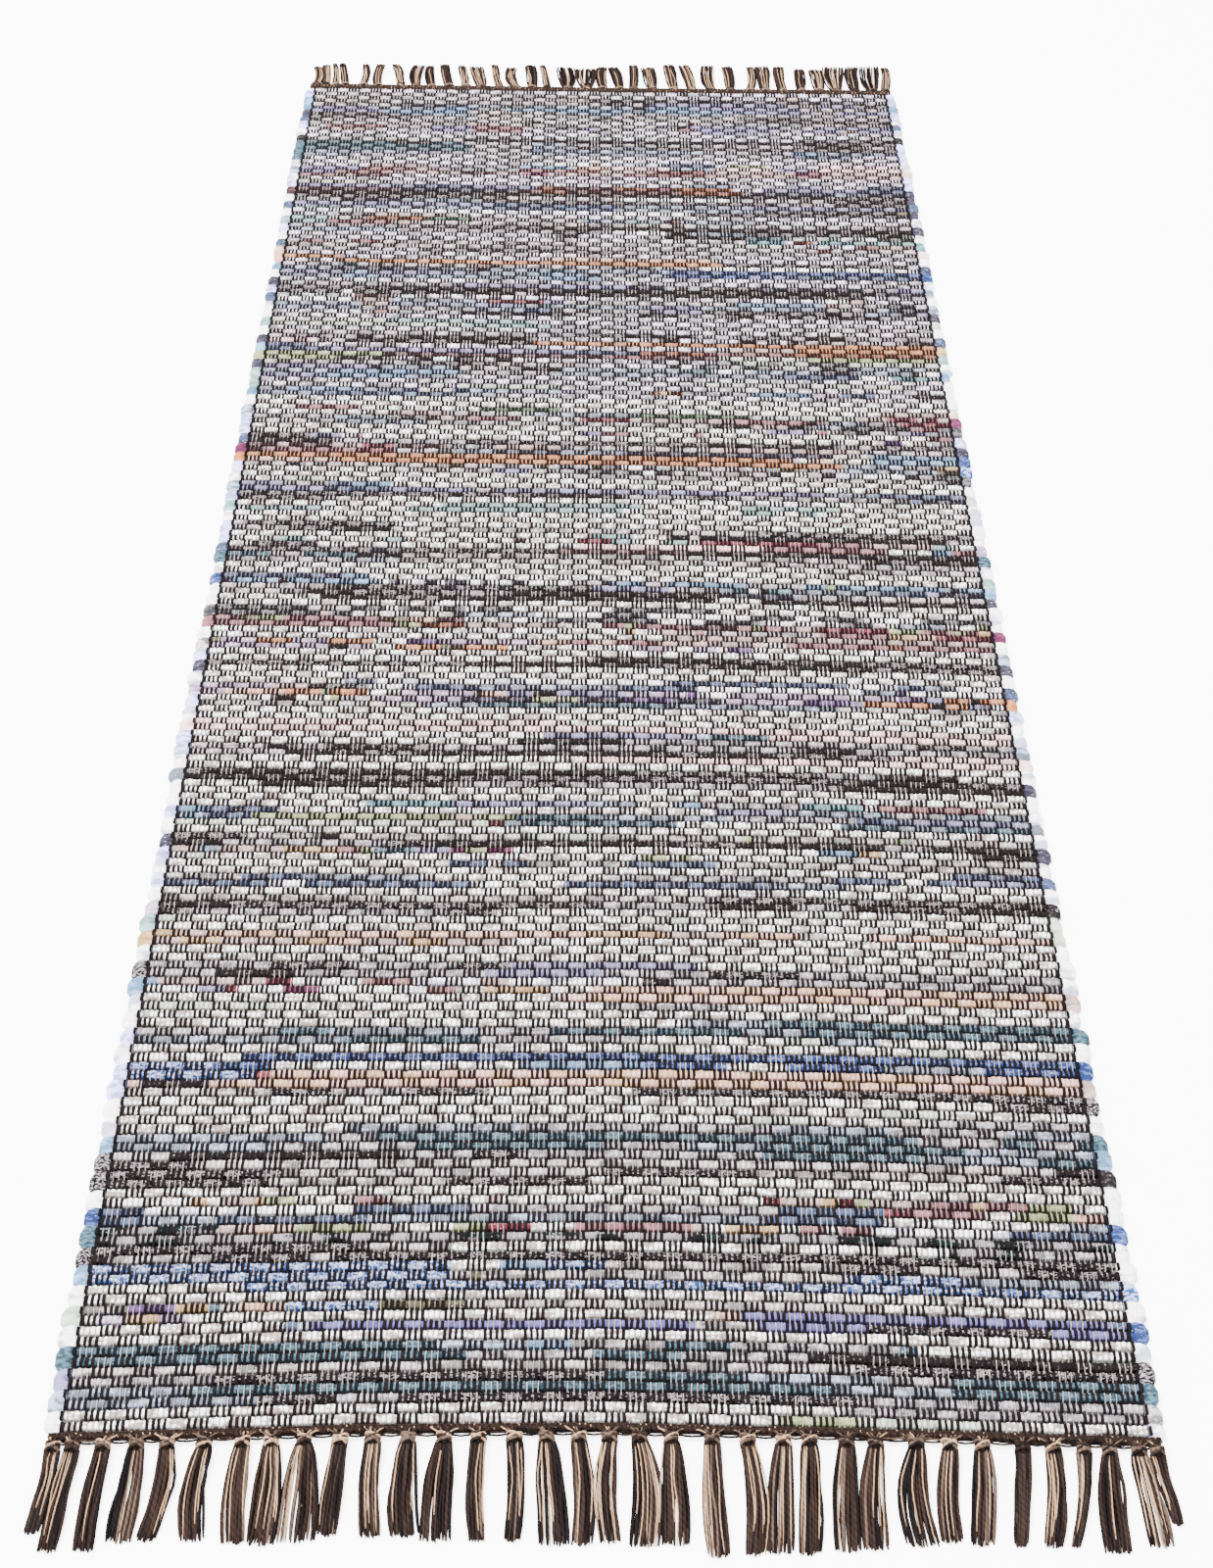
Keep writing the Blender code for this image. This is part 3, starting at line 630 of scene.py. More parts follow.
def cloth_material(name, colour, second, spots, spot_mm, flecks):
    """Crumpled cotton rag: spots of a second colour, creases along the row with painted shade along them,
    fine threads, and painted shade low down between the rows.

    The scales of the noises are in waves per metre across the rug, along it and up.
    """
    nodes = Nodes(f"rag_{name}", roughness=0.92)
    per_metre = 1.0 / (spot_mm * MM)
    spot = nodes.noise(nodes.stretched((per_metre, SPOT_STRETCH * per_metre, per_metre)), detail=3.0)
    middle = 0.5 + 0.28 * (0.5 - spots)
    spotted = nodes.ramp(spot, middle - 0.05, middle + 0.05)
    body = nodes.mix(spotted, shader_colour(colour), shader_colour(second))
    creases = nodes.noise(nodes.stretched((70.0, 900.0, 300.0)), detail=3.0)
    # Painted shade along the creases: darker streaks that run along the row
    body = nodes.mix(1.0, body, nodes.ramp(creases, 0.74, 0.50, 0.66), "MULTIPLY")
    facets = nodes.noise(nodes.stretched((330.0, 90.0, 90.0)), detail=1.0)
    body = nodes.mix(1.0, body, nodes.ramp(facets, 0.70, 0.42, 0.84), "MULTIPLY")
    if flecks > 0.0:
        edge = FLECK_EDGE - flecks
        coarse = nodes.noise(nodes.stretched((420.0, 800.0, 600.0)), detail=1.0)
        body = nodes.mix(nodes.ramp(coarse, edge, edge + 0.04), body, shader_colour(FLECK_COLOUR))
        body = nodes.mix(1.0, body, nodes.ramp(coarse, 0.96 - edge, 1.0 - edge, 0.40), "MULTIPLY")
    threads = nodes.noise(nodes.stretched((1500.0, 1500.0, 1500.0)), detail=1.0)
    normal = nodes.bump(creases, 0.0012, 0.8)
    normal = nodes.bump(threads, 0.0003, 0.5, normal)
    # The rag's colour gets painted shade low down between the rows
    return nodes.finish(nodes.gaps(body), normal)


def yarn_material(name, colour, second):
    """Twisted cotton yarn that runs along Y: slanted plies with painted shade in the furrows between them,
    and a tone that varies by yarn.
    """
    nodes = Nodes(f"yarn_{name}", roughness=0.85)
    tone = nodes.noise(nodes.stretched((450.0, 30.0, 200.0)), detail=1.0)
    body = nodes.mix(nodes.ramp(tone, 0.3, 0.7), shader_colour(colour), shader_colour(second))
    ply = nodes.tree.nodes.new("ShaderNodeTexWave")
    ply.bands_direction = "DIAGONAL"
    ply.inputs["Scale"].default_value = 1.0
    ply.inputs["Distortion"].default_value = 2.0
    nodes.link(nodes.stretched((150.0, 110.0, 60.0)), ply.inputs["Vector"])
    # Painted shade in the furrows between the plies: the yarn's colour at half brightness
    furrow_shade = nodes.math("MULTIPLY", nodes.ramp(ply.outputs["Fac"], 0.75, 0.1), 0.35)
    body = nodes.mix(furrow_shade, body, shader_colour(colour, 0.5))
    hairs = nodes.noise(nodes.stretched((2500.0, 700.0, 2500.0)), detail=2.0)
    normal = nodes.bump(ply.outputs["Fac"], 0.0004, 0.8)
    normal = nodes.bump(hairs, 0.0003, 0.5, normal)
    return nodes.finish(body, normal)


# ---------------------------------------------------------------- meshes from grids

def cell_map(count, along, around, columns, left, right):
    """UV corners that give each of count grids a cell of its own between left and right."""
    rows = math.ceil(count / columns)
    number = np.arange(count)
    margin = 0.04
    u = (number % columns)[:, None] + np.linspace(margin, 1.0 - margin, along)[None, :]
    v = (number // columns)[:, None] + np.linspace(margin, 1.0 - margin, around)[None, :]
    uv = np.empty((count, along, around, 2))
    uv[..., 0] = (left + (right - left) * u / columns)[:, :, None]
    uv[..., 1] = (v / rows)[:, None, :]
    return uv


def corners(grid):
    """The four corners of each cell of a grid, counter-clockwise, as (cells, 4, ...)."""
    parts = (grid[:, :-1, :-1], grid[:, 1:, :-1], grid[:, 1:, 1:], grid[:, :-1, 1:])
    stacked = np.stack(parts, axis=3)
    return stacked.reshape(-1, *stacked.shape[3:])


def quad_mesh(name, points, quads, kinds, uv, materials):
    """A smooth mesh of quads, with each quad's material number and UV corners."""
    mesh = bpy.data.meshes.new(name)
    mesh.vertices.add(len(points))
    mesh.vertices.foreach_set("co", points.ravel())
    mesh.loops.add(quads.size)
    mesh.loops.foreach_set("vertex_index", quads.ravel().astype(np.int32))
    mesh.polygons.add(len(quads))
    mesh.polygons.foreach_set("loop_start", np.arange(0, quads.size, 4, dtype=np.int32))
    mesh.polygons.foreach_set("material_index", kinds.astype(np.int32))
    layer = mesh.uv_layers.new(name="OFBake")
    layer.data.foreach_set("uv", uv.ravel())
    for material in materials:
        mesh.materials.append(material)
    mesh.update(calc_edges=True)
    mesh.shade_smooth()
    return mesh


def new_piece(name, families, materials, node):
    """One mesh from families of like grids, which stands for a CAD node.

    A family is (points, kinds, closed, columns): points by grid, step along, step around and
    axis; the material's number for each grid, or for each stretch of each grid; whether the
    grids are tubes; and how many of them lie side by side in the UV map.
    """
    points, quads, kinds, uvs = [], [], [], []
    first = 0
    sizes = [math.prod(family[0].shape[:3]) for family in families]
    shares = np.concatenate([[0.0], np.cumsum(sizes) / sum(sizes)])
    for number, (grid, kind, closed, columns) in enumerate(families):
        count, along, around, _ = grid.shape
        index = first + np.arange(count * along * around).reshape(count, along, around)
        if closed:
            index = np.concatenate([index, index[:, :, :1]], axis=2)
        uv = cell_map(count, along, index.shape[2], columns, shares[number], shares[number + 1])
        quads.append(corners(index))
        uvs.append(corners(uv))
        kind = np.asarray(kind)
        while kind.ndim < 3:
            kind = kind[..., None]
        kinds.append(np.broadcast_to(kind, (count, along - 1, index.shape[2] - 1)).ravel())
        points.append(grid.reshape(-1, 3))
        first += count * along * around

    arrays = (np.concatenate(parts) for parts in (points, quads, kinds, uvs))
    piece = bpy.data.objects.new(name, quad_mesh(name, *arrays, materials))
    bpy.context.collection.objects.link(piece)
    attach(piece, "root")
    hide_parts(node)
    return piece


def tubes(paths, radii, sides, reference=(0.0, 0.0, 1.0)):
    """Tubes round paths of shape (count, steps, 3), their seams turned to the reference."""
    along = np.gradient(paths, axis=1)
    along /= np.linalg.norm(along, axis=2, keepdims=True)
    side = np.cross(along, np.array(reference))
    side /= np.linalg.norm(side, axis=2, keepdims=True)
    up = np.cross(side, along)
    angle = 2.0 * math.pi * np.arange(sides) / sides
    ring = np.cos(angle)[:, None] * side[:, :, None, :] + np.sin(angle)[:, None] * up[:, :, None, :]
    return paths[:, :, None, :] + radii[:, :, None, None] * ring


# ---------------------------------------------------------------- the weft

def weave():
    """Where the rows lie: arrays by row or line, and by warp end across the width."""
    rng = np.random.default_rng(5)
    ends = (np.arange(END_COUNT) + 0.5) * END_PITCH - WARP_WIDTH / 2
    cloth = read_chart(ends)
    body = bulk(cloth)
    body *= 1.0 + waves(rng, ROW_COUNT, ends, BULK_WAVES, BULK_CHANGE)
    kernel = np.ones(BULK_BLEND) / BULK_BLEND
    margin = BULK_BLEND // 2
    padded = np.pad(body, ((0, 0), (margin, margin)), mode="edge")
    body = np.array([np.convolve(row, kernel, mode="valid") for row in padded])

    crest_lines = line_along(np.arange(ROW_COUNT) * 2 + 1)
    middle = crest_lines[:, None] + bow(ends, crest_lines)
    middle += waves(rng, ROW_COUNT, ends, STRAY_WAVES, STRAY)
    limits = line_along(np.array([0, 2 * ROW_COUNT]))
    outer = limits[:, None] + bow(ends, limits)
    share = body[:-1] / (body[:-1] + body[1:])
    inner = middle[:-1] + (middle[1:] - middle[:-1]) * share
    lines = np.concatenate([outer[:1], inner, outer[1:]])
    jitter = rng.normal(0.0, ROUGHNESS, lines.shape)
    jitter[[0, -1]] *= 0.5
    return {
        "ends": ends,
        "cloth": cloth,
        "low": lines[:-1] + jitter[:-1],
        "high": lines[1:] + jitter[1:],
        "crest": CREST * (FULLNESS[0] + FULLNESS[1] * np.clip(body, 0.6, 1.2)),
    }


def dark_on_top(row):
    """Whether the dark warps lie on top, for each warp end of a row."""
    block = np.arange(END_COUNT) // ENDS_PER_BLOCK
    return (block + row) % 2 == 0


def spread(values, cloth, across):
    """Values by row and warp end, read at other places across the width."""
    return np.array([np.interp(across, cloth["ends"], row) for row in values])


def rag_columns(row):
    """Where a row's rag is pressed down and where it bulges, and its height there."""
    dark = dark_on_top(row)
    in_block = np.arange(END_COUNT) % ENDS_PER_BLOCK
    of_dark_warp = in_block % 2 == 0
    heights = np.where(of_dark_warp, 1.0, LIGHT_PRESSED)
    heights[dark] = np.where(of_dark_warp, PRESSED, 1.0)[dark]
    side = np.where(dark, 0, (in_block == ENDS_PER_BLOCK - 1).astype(int) - (in_block == 0))
    heights[side != 0] = BLOCK_SIDE
    ends = np.arange(END_COUNT) + side * BLOCK_BULGE
    return (ends + 0.5) * END_PITCH - WARP_WIDTH / 2, heights


def rag_rows(cloth, rows, rng):
    """The rags of some rows of one parity: strips that bulge between the warps."""
    across, heights = rag_columns(rows[0])
    low, high, crest = (spread(cloth[name][rows], cloth, across) for name in ("low", "high", "crest"))
    middle, width = (low + high) / 2, high - low
    height = crest * heights * rng.uniform(*LUMPS, low.shape)
    lean = rng.normal(0.0, LUMP_LEAN, low.shape)
    profile = (
        (low - OVERLAP, VALLEY),
        (middle - SHOULDER * width, height - lean),
        (middle + SHOULDER * width, height + lean),
        (high + OVERLAP, VALLEY),
    )
    grid = np.empty((len(rows), len(across), len(profile), 3))
    grid[..., 0] = across[None, :, None]
    for step, (along, level) in enumerate(profile):
        grid[..., step, 1] = along
        grid[..., step, 2] = level
    stretches = (across[:-1] + across[1:]) / 2
    nearest = np.floor((stretches + WARP_WIDTH / 2) / END_PITCH).astype(int)
    return grid, cloth["cloth"][np.ix_(rows, nearest)]


def warp_bars(cloth, rows, dark, rng):
    """The warps that lie over some rows of one parity: arched ribbons from valley to valley."""
    in_block = np.arange(END_COUNT) % ENDS_PER_BLOCK
    on_top = dark_on_top(rows[0])
    shown = on_top & (in_block % 2 == 0) if dark else ~on_top & (in_block % 2 == 1)
    used = np.flatnonzero(shown)
    shape = (len(rows), len(used))
    low, high = cloth["low"][np.ix_(rows, used)], cloth["high"][np.ix_(rows, used)]
    middle, width = (low + high) / 2, high - low
    crest = cloth["crest"][np.ix_(rows, used)]
    top = crest * (DARK_TOP if dark else LIGHT_TOP)
    top = top + rng.normal(0.0, WARP_RISE, shape)
    wider = 1.0 + (FAR_WIDER - 1.0) * rows[:, None] / ROW_COUNT
    usual = DARK_HALF_WIDTH * wider if dark else LIGHT_HALF_WIDTH
    half = usual * rng.uniform(*WARP_WIDTHS, shape)
    across = cloth["ends"][used] + rng.normal(0.0, WARP_STRAY, shape)
    slant = rng.normal(0.0, WARP_SLANT, shape)

    grid = np.empty((*shape, len(BAR_STEPS), 2, 3))
    for step, place in enumerate(BAR_STEPS):
        level = WARP_FOOT if abs(place) > 0.5 else top
        for number, side in enumerate((1, -1)):
            grid[:, :, step, number, 0] = across + slant * place + side * half
            grid[:, :, step, number, 1] = middle + place * width
            grid[:, :, step, number, 2] = level
    return grid.reshape(-1, len(BAR_STEPS), 2, 3)


def build_sections(cloth, rag_materials, yarns):
    """The rags and the warps over them, in lengths of cloth."""
    rng = np.random.default_rng(17)
    pieces = []
    bounds = np.linspace(0, ROW_COUNT, SECTION_COUNT + 1).astype(int)
    for section in range(SECTION_COUNT):
        rags, bars = [], []
        for parity in (0, 1):
            rows = np.arange(bounds[section], bounds[section + 1])
            rows = rows[rows % 2 == parity]
            grid, kinds = rag_rows(cloth, rows, rng)
            rags.append((grid, kinds, False, 1))
            dark = warp_bars(cloth, rows, True, rng)
            light = warp_bars(cloth, rows, False, rng)
            bars.append((dark, np.full(len(dark), DARK), False, BLOCK_COUNT))
            bars.append((light, np.full(len(light), LIGHT), False, BLOCK_COUNT))
        number = section + 1
        pieces.append(new_piece(f"rags_{number}", rags, rag_materials, "woven_field"))
        pieces.append(new_piece(f"warps_{number}", bars, yarns, "woven_field"))
    return pieces


# ---------------------------------------------------------------- edge warps and selvage loops

EDGE_OUT = 0.0009           # the edge warps' middle, outside the outermost warp
EDGE_HALF_GAP = 0.0006      # half the distance between the two
EDGE_HALF_WIDTH = 0.00110
EDGE_TOP = 0.0064
EDGE_FOOT = 0.0024          # height where one dips under the other
EDGE_ROUNDING = 0.0008      # how much lower its sides lie
EDGE_STRAY = 0.0002
EDGE_STEPS = (-0.60, -0.32, 0.32, 0.60)     # along its arch, in widths of its row

LOOP_START = 0.003          # inside the outermost warp, where a loop comes out of its row
LOOP_OUT = 0.0008           # outside the outermost warp, where its turn starts
LOOP_HALF_WIDTH = 0.0054
LOOP_HALF_HEIGHT = 0.0026
LOOP_MIDDLE = 0.0028        # height of its middle
LOOP_SQUARENESS = 0.80      # power of the sine and cosine in a loop's outline: 1 is round
LOOP_WIDENING = 1.10        # of the loop's turn against the spacing of its two rows
LOOP_TILT = 0.34            # slope of a loop, up towards the far end, over its neighbour
TILT_CHANGE = 0.07          # from loop to loop
LOOP_STRAY = 0.0005         # along the rug
LOOP_SIZES = (0.90, 1.12)   # least and greatest reach against the usual
LOOP_BULK = (0.82, 0.20)    # of the reach: fixed, and in step with the rag's bulk
LOOP_LEAN = 0.0022          # how far a loop's outer side leans towards the near end
LOOP_SIDES = 12
LOOP_ANGLES = (-90, -90, -68, -40, -13, 13, 40, 68, 90, 90)     # of its turn, in degrees
LOOP_FOLDS = 3              # folds round the loop
FOLD_DEPTH = 0.21           # of a fold, as a share of the loop's thickness
FREE_END = 0.0021           # half the spread of a rag's loose end
FLOOR_CLEAR = 0.0001        # the lowest that a loop reaches


def build_edge_warps(cloth, yarns):
    """Two dark warps at each side that take turns on top, row by row."""
    rng = np.random.default_rng(23)
    turns = np.where(np.arange(ROW_COUNT) % 2 == 0, 1.0, -1.0)
    bars = []
    for side in (-1, 1):
        column = 0 if side < 0 else END_COUNT - 1
        low, high = cloth["low"][:, column], cloth["high"][:, column]
        middle, width = (low + high) / 2, high - low
        across = side * (WARP_WIDTH / 2 + EDGE_OUT) + turns * EDGE_HALF_GAP
        across = across + rng.normal(0.0, EDGE_STRAY, ROW_COUNT)
        grid = np.empty((ROW_COUNT, len(EDGE_STEPS), 3, 3))
        for step, place in enumerate(EDGE_STEPS):
            level = EDGE_FOOT if abs(place) > 0.5 else EDGE_TOP
            for number, edge in enumerate((1, 0, -1)):
                grid[:, step, number, 0] = across + edge * EDGE_HALF_WIDTH
                grid[:, step, number, 1] = middle + place * width
                grid[:, step, number, 2] = level - (EDGE_ROUNDING if edge else 0.0)
        bars.append((grid, np.full(ROW_COUNT, DARK), False, 16))
    return new_piece("edge_warps", bars, yarns, "woven_field")


def build_selvage(cloth, side, rag_materials):
    """The loops at one side: each rag turns back round the outermost warp into the next row."""
    rng = np.random.default_rng(31 + side)
    column = 0 if side < 0 else END_COUNT - 1
    centres = (cloth["low"][:, column] + cloth["high"][:, column]) / 2
    if side < 0:
        kinds = cloth_numbers(LEFT_LOOPS.split())
        first, second = centres[0::2], centres[1::2]
    else:
        kinds = cloth_numbers(RIGHT_LOOPS.split())
        first = np.concatenate([[centres[0] - FREE_END], centres[1:-1:2], [centres[-1] - FREE_END]])
        second = np.concatenate([[centres[0] + FREE_END], centres[2:-1:2], [centres[-1] + FREE_END]])
    count = len(first)
    reach = LOOP_REACH * rng.uniform(*LOOP_SIZES, count) * (LOOP_BULK[0] + LOOP_BULK[1] * bulk(kinds))
    middle = (first + second) / 2 + rng.normal(0.0, LOOP_STRAY, count)
    radius = (second - first) / 2
    tilt = LOOP_TILT + rng.normal(0.0, TILT_CHANGE, count)

    angles = np.radians(LOOP_ANGLES)
    inward = np.zeros(len(angles))
    inward[[0, -1]] = -LOOP_START
    ring = 2.0 * math.pi * np.arange(LOOP_SIDES) / LOOP_SIDES
    phase = rng.uniform(0, 2 * math.pi, (count, 1))
    folds = 1.0 + FOLD_DEPTH * np.cos(LOOP_FOLDS * ring[None, :] + phase)
    arm = reach - LOOP_HALF_WIDTH - LOOP_OUT
    grid = np.empty((count, len(angles), LOOP_SIDES, 3))
    for step, angle in enumerate(angles):
        out = max(math.cos(angle), 0.0) ** LOOP_SQUARENESS
        turn_along = math.copysign(abs(math.sin(angle)) ** LOOP_SQUARENESS, angle)
        wider = 1.0 + (LOOP_WIDENING - 1.0) * out
        x = side * (WARP_WIDTH / 2 + LOOP_OUT + arm * out + inward[step])
        y = middle + radius * wider * turn_along - LOOP_LEAN * out
        thick = LOOP_HALF_WIDTH * (0.84 + 0.16 * out)
        for number, turn in enumerate(ring if side > 0 else -ring):
            spread_out = thick * math.cos(turn) * folds[:, number]
            grid[:, step, number, 0] = x + side * out * spread_out
            grid[:, step, number, 1] = y + turn_along * spread_out
            lift = LOOP_HALF_HEIGHT * math.sin(turn) * folds[:, number] * (0.60 + 0.52 * out)
            lift = lift + tilt * (radius * turn_along + spread_out * turn_along) * out
            grid[:, step, number, 2] = np.maximum(FLOOR_CLEAR, LOOP_MIDDLE + lift)
    name = "selvage_left" if side < 0 else "selvage_right"
    return new_piece(name, [(grid, kinds, True, 4)], rag_materials, "woven_field")


BASE_TOP = (0.0016, 0.0030)     # of the inner layer, between two rows and under a row's crest
BASE_UNDER = (0.0006, 0.0)      # and its underside
BASE_EDGE = 0.0011              # where top and underside meet at the two ends


def build_base(cloth, material):
    """The cloth's inner layer: a closed ribbed sheet under the rags, in the dark yarn. It stands for the
    dark warp ends between the rows, and is partly painted shade there as well.
    """
    columns = np.linspace(0, END_COUNT - 1, 5).astype(int)
    ends = cloth["ends"][columns].copy()
    ends[[0, -1]] = (-WARP_WIDTH / 2, WARP_WIDTH / 2)
    low, high = cloth["low"][:, columns], cloth["high"][:, columns]
    along = np.empty((2 * ROW_COUNT + 1, len(columns)))
    along[0:-1:2] = low
    along[1::2] = (low + high) / 2
    along[-1] = high[-1]
    ribs = np.arange(2 * ROW_COUNT + 1) % 2
    top = np.empty((*along.shape, 3))
    top[..., 0] = ends
    top[..., 1] = along
    bottom = top.copy()
    top[..., 2] = np.array(BASE_TOP)[ribs][:, None]
    bottom[..., 2] = np.array(BASE_UNDER)[ribs][:, None]
    ring = np.concatenate([top[:, ::-1], bottom], axis=1)
    near_edge, far_edge = ring[:1].copy(), ring[-1:].copy()
    near_edge[..., 2] = far_edge[..., 2] = BASE_EDGE
    grid = np.concatenate([near_edge, ring, far_edge])[None]
    base = new_piece("cloth_base", [(grid, 0, True, 1)], [material], "woven_field")

    # The flattened end rings close once their upper and lower points are one
    ends_closed = bmesh.new()
    ends_closed.from_mesh(base.data)
    bmesh.ops.remove_doubles(ends_closed, verts=ends_closed.verts, dist=1e-6)
    ends_closed.to_mesh(base.data)
    ends_closed.free()
    return base


# ---------------------------------------------------------------- headings and fringes

PICK_PITCH = 0.0014         # of the yarn picks in a heading
NEAR_PICKS = 3
FAR_PICKS = 7
NEAR_TOP = 0.0054           # height of a heading's picks
FAR_TOP = 0.0066
PICK_SIDE = 0.0022          # how much lower a pick's sides lie
PICK_STEPS = (0.0, 0.25, 0.75, 1.0)     # across a pick, in pitches
PICK_DIP = 0.00035          # how far a pick rises and dips over the warps
PICK_STRAY = 0.00012
HEADING_FOOT = 0.0003       # height of the heading's outer edge
HEADING_SIDE = 0.3475       # half its length

SPECK_STRAY = 0.0003        # across the rug, of the warps that show between the picks
SPECK_HALF_WIDTH = 0.0004
SPECK_SLANT = 0.0008
SPECK_START = 0.4           # outward from the cloth's edge, in pick pitches
SPECK_LENGTH = 1.3          # in pick pitches
SPECK_FOOT = 0.0006         # below the picks' top
SPECK_ARCH = 0.0013

YARN_RADIUS = 0.00112
YARN_SIDES = 4
BEIGE_THINNER = 0.44        # a beige yarn's radius against the others'
# The odds of the dark, light, beige, taupe and brown yarns
YARN_ODDS = (0.32, 0.00, 0.15, 0.03, 0.50)      # in a tassel
TAN_SIDE_ODDS = (0.10, 0.00, 0.30, 0.34, 0.26)  # on the lighter side that some tassels have
EDGE_ODDS = (0.55, 0.00, 0.08, 0.04, 0.33)      # at a tassel's two edges
KNOT_ODDS = (0.14, 0.00, 0.16, 0.38, 0.32)
CORD_ODDS = (0.62, 0.00, 0.00, 0.06, 0.32)

KNOT_OUT = 0.0035           # a knot's middle beyond the heading's outer edge
KNOT_MIDDLE = 0.0042        # its height
KNOT_HALF_WIDTH = 0.0043
KNOT_HALF_HEIGHT = 0.0027
WRAPS = (
    # lean along the rug and shift outward of each yarn that is wound round a knot
    (0.0022, -0.0006),
    (-0.0022, 0.0006),
    (0.0012, 0.0019),
    (-0.0016, -0.0019),
)
WRAP_STEPS = 13
WRAP_RADIUS = 0.00105
CORE_ENDS = (-0.0035, 0.0045)       # of a knot's core, outward from the knot's middle
CORE_RADII = (0.0018, 0.0030, 0.0033, 0.0028, 0.0020)
CORE_HEIGHT = 0.0034

FAN_PLACES = (-1.0, -0.62, -0.25, 0.2, 0.6, 1.0)    # of the yarns that run into a knot
FAN_HALF_WIDTH = 0.0088     # of the fan that they form, on the heading
FAN_KNOT_HALF_WIDTH = 0.0020        # of the same in the knot
FAN_STRAY = 0.0006
FAN_STARTS = (0.0035, 0.0050)       # inward from the heading's outer edge
FAN_RADIUS = 0.0006

CORD_RADIUS = 0.0009        # of the yarns that hang from knot to knot along the heading
CORD_SAGS = (-0.0026, 0.0003)       # outward
CORD_CHANGE = (0.5, 1.4)    # least and greatest sag against the usual
CORD_POINTS = 5             # that such a yarn goes through
CORD_HEIGHT = 0.0022        # halfway between two knots
CORD_RISE = 0.0018          # and how much higher it is at a knot

YARNS_PER_TASSEL = 18
TAN_SIDES = (0.10, 0.74, 0.16)      # odds of a lighter left side, of none, and of a right one
TAN_START = 0.1             # the lighter side's start, in half widths from the tassel's middle
EDGE_START = 0.88           # the same of its edges
TIP_SPREAD = 1.16           # loose yarns lie wider at the tips than the part's strands
SPREAD_POWER = 2.9          # how soon a tassel's yarns spread: 1 is evenly along its length
KNOT_ROOT = 0.0045          # half a tassel's width where it leaves its knot
ROOT_OUT = 0.0020           # where that is, outward from the knot's middle
ROOT_HEIGHT = 0.0034
ROOT_LIFT = 0.0010          # how much higher than its layer a yarn is at the second place
YARN_PLACES = (0.0, 0.14, 0.38, 0.68, 1.0)      # along a loose yarn
YARN_STEPS = 10
TASSEL_SWAY = 0.0019        # how far a tassel bends sideways
YARN_SWAY = 0.0006          # and each of its yarns
TIP_STRAY = 0.05            # in half widths of the tassel
TIP_SHORT = (-0.0032, -0.0002)      # of a yarn's tip against the reach: below zero is past it
SIDE_SHORT = 0.0015         # and how much shorter the yarns at the tassel's edges are
TIP_RADIUS = 0.55           # of a yarn's radius
THICKNESS = (0.88, 1.12)    # least and greatest radius of a yarn against the usual
LAYERS = (1.0, 2.6)         # heights of the two layers, in yarn radii
BEIGE_LAYER = 3.4           # and of the beige yarns on them
YARN_FOOT = 0.00005         # the lowest that a yarn reaches

NEAR_TASSELS = (
    # knot    left     right    reach
    (-0.3435, -0.3520, -0.3428, 1.071),
    (-0.3314, -0.3420, -0.3307, 1.084),
    (-0.3125, -0.3205, -0.3084, 1.084),
    (-0.2916, -0.3012, -0.2860, 1.077),
    (-0.2727, -0.2834, -0.2712, 1.076),
    (-0.2497, -0.2580, -0.2430, 1.076),
    (-0.2260, -0.2315, -0.2180, 1.078),
    (-0.2080, -0.2167, -0.1999, 1.079),
    (-0.1877, -0.1990, -0.1760, 1.077),
    (-0.1654, -0.1742, -0.1631, 1.072),
    (-0.1450, -0.1485, -0.1364, 1.074),
    (-0.1230, -0.1303, -0.1134, 1.073),
    (-0.1005, -0.1120, -0.0938, 1.076),
    (-0.0790, -0.0830, -0.0722, 1.076),
    (-0.0567, -0.0615, -0.0516, 1.076),
    (-0.0365, -0.0399, -0.0224, 1.080),
    (-0.0164, -0.0209, -0.0082, 1.079),
    (0.0027, -0.0040, 0.0095, 1.077),
    (0.0216, 0.0149, 0.0318, 1.080),
    (0.0412, 0.0327, 0.0506, 1.079),
    (0.0668, 0.0614, 0.0750, 1.088),
    (0.0890, 0.0843, 0.0962, 1.086),
    (0.1113, 0.0973, 0.1134, 1.085),
    (0.1275, 0.1153, 0.1302, 1.086),
    (0.1505, 0.1386, 0.1538, 1.084),
    (0.1687, 0.1558, 0.1707, 1.082),
    (0.1940, 0.1825, 0.2019, 1.080),
    (0.2148, 0.2028, 0.2162, 1.077),
    (0.2350, 0.2209, 0.2344, 1.079),
    (0.2600, 0.2466, 0.2554, 1.080),
    (0.2790, 0.2648, 0.2762, 1.080),
    (0.2980, 0.2808, 0.2872, 1.080),
    (0.3140, 0.3012, 0.3174, 1.085),
    (0.3322, 0.3282, 0.3434, 1.080),
    (0.3437, 0.3446, 0.3520, 1.064),
)
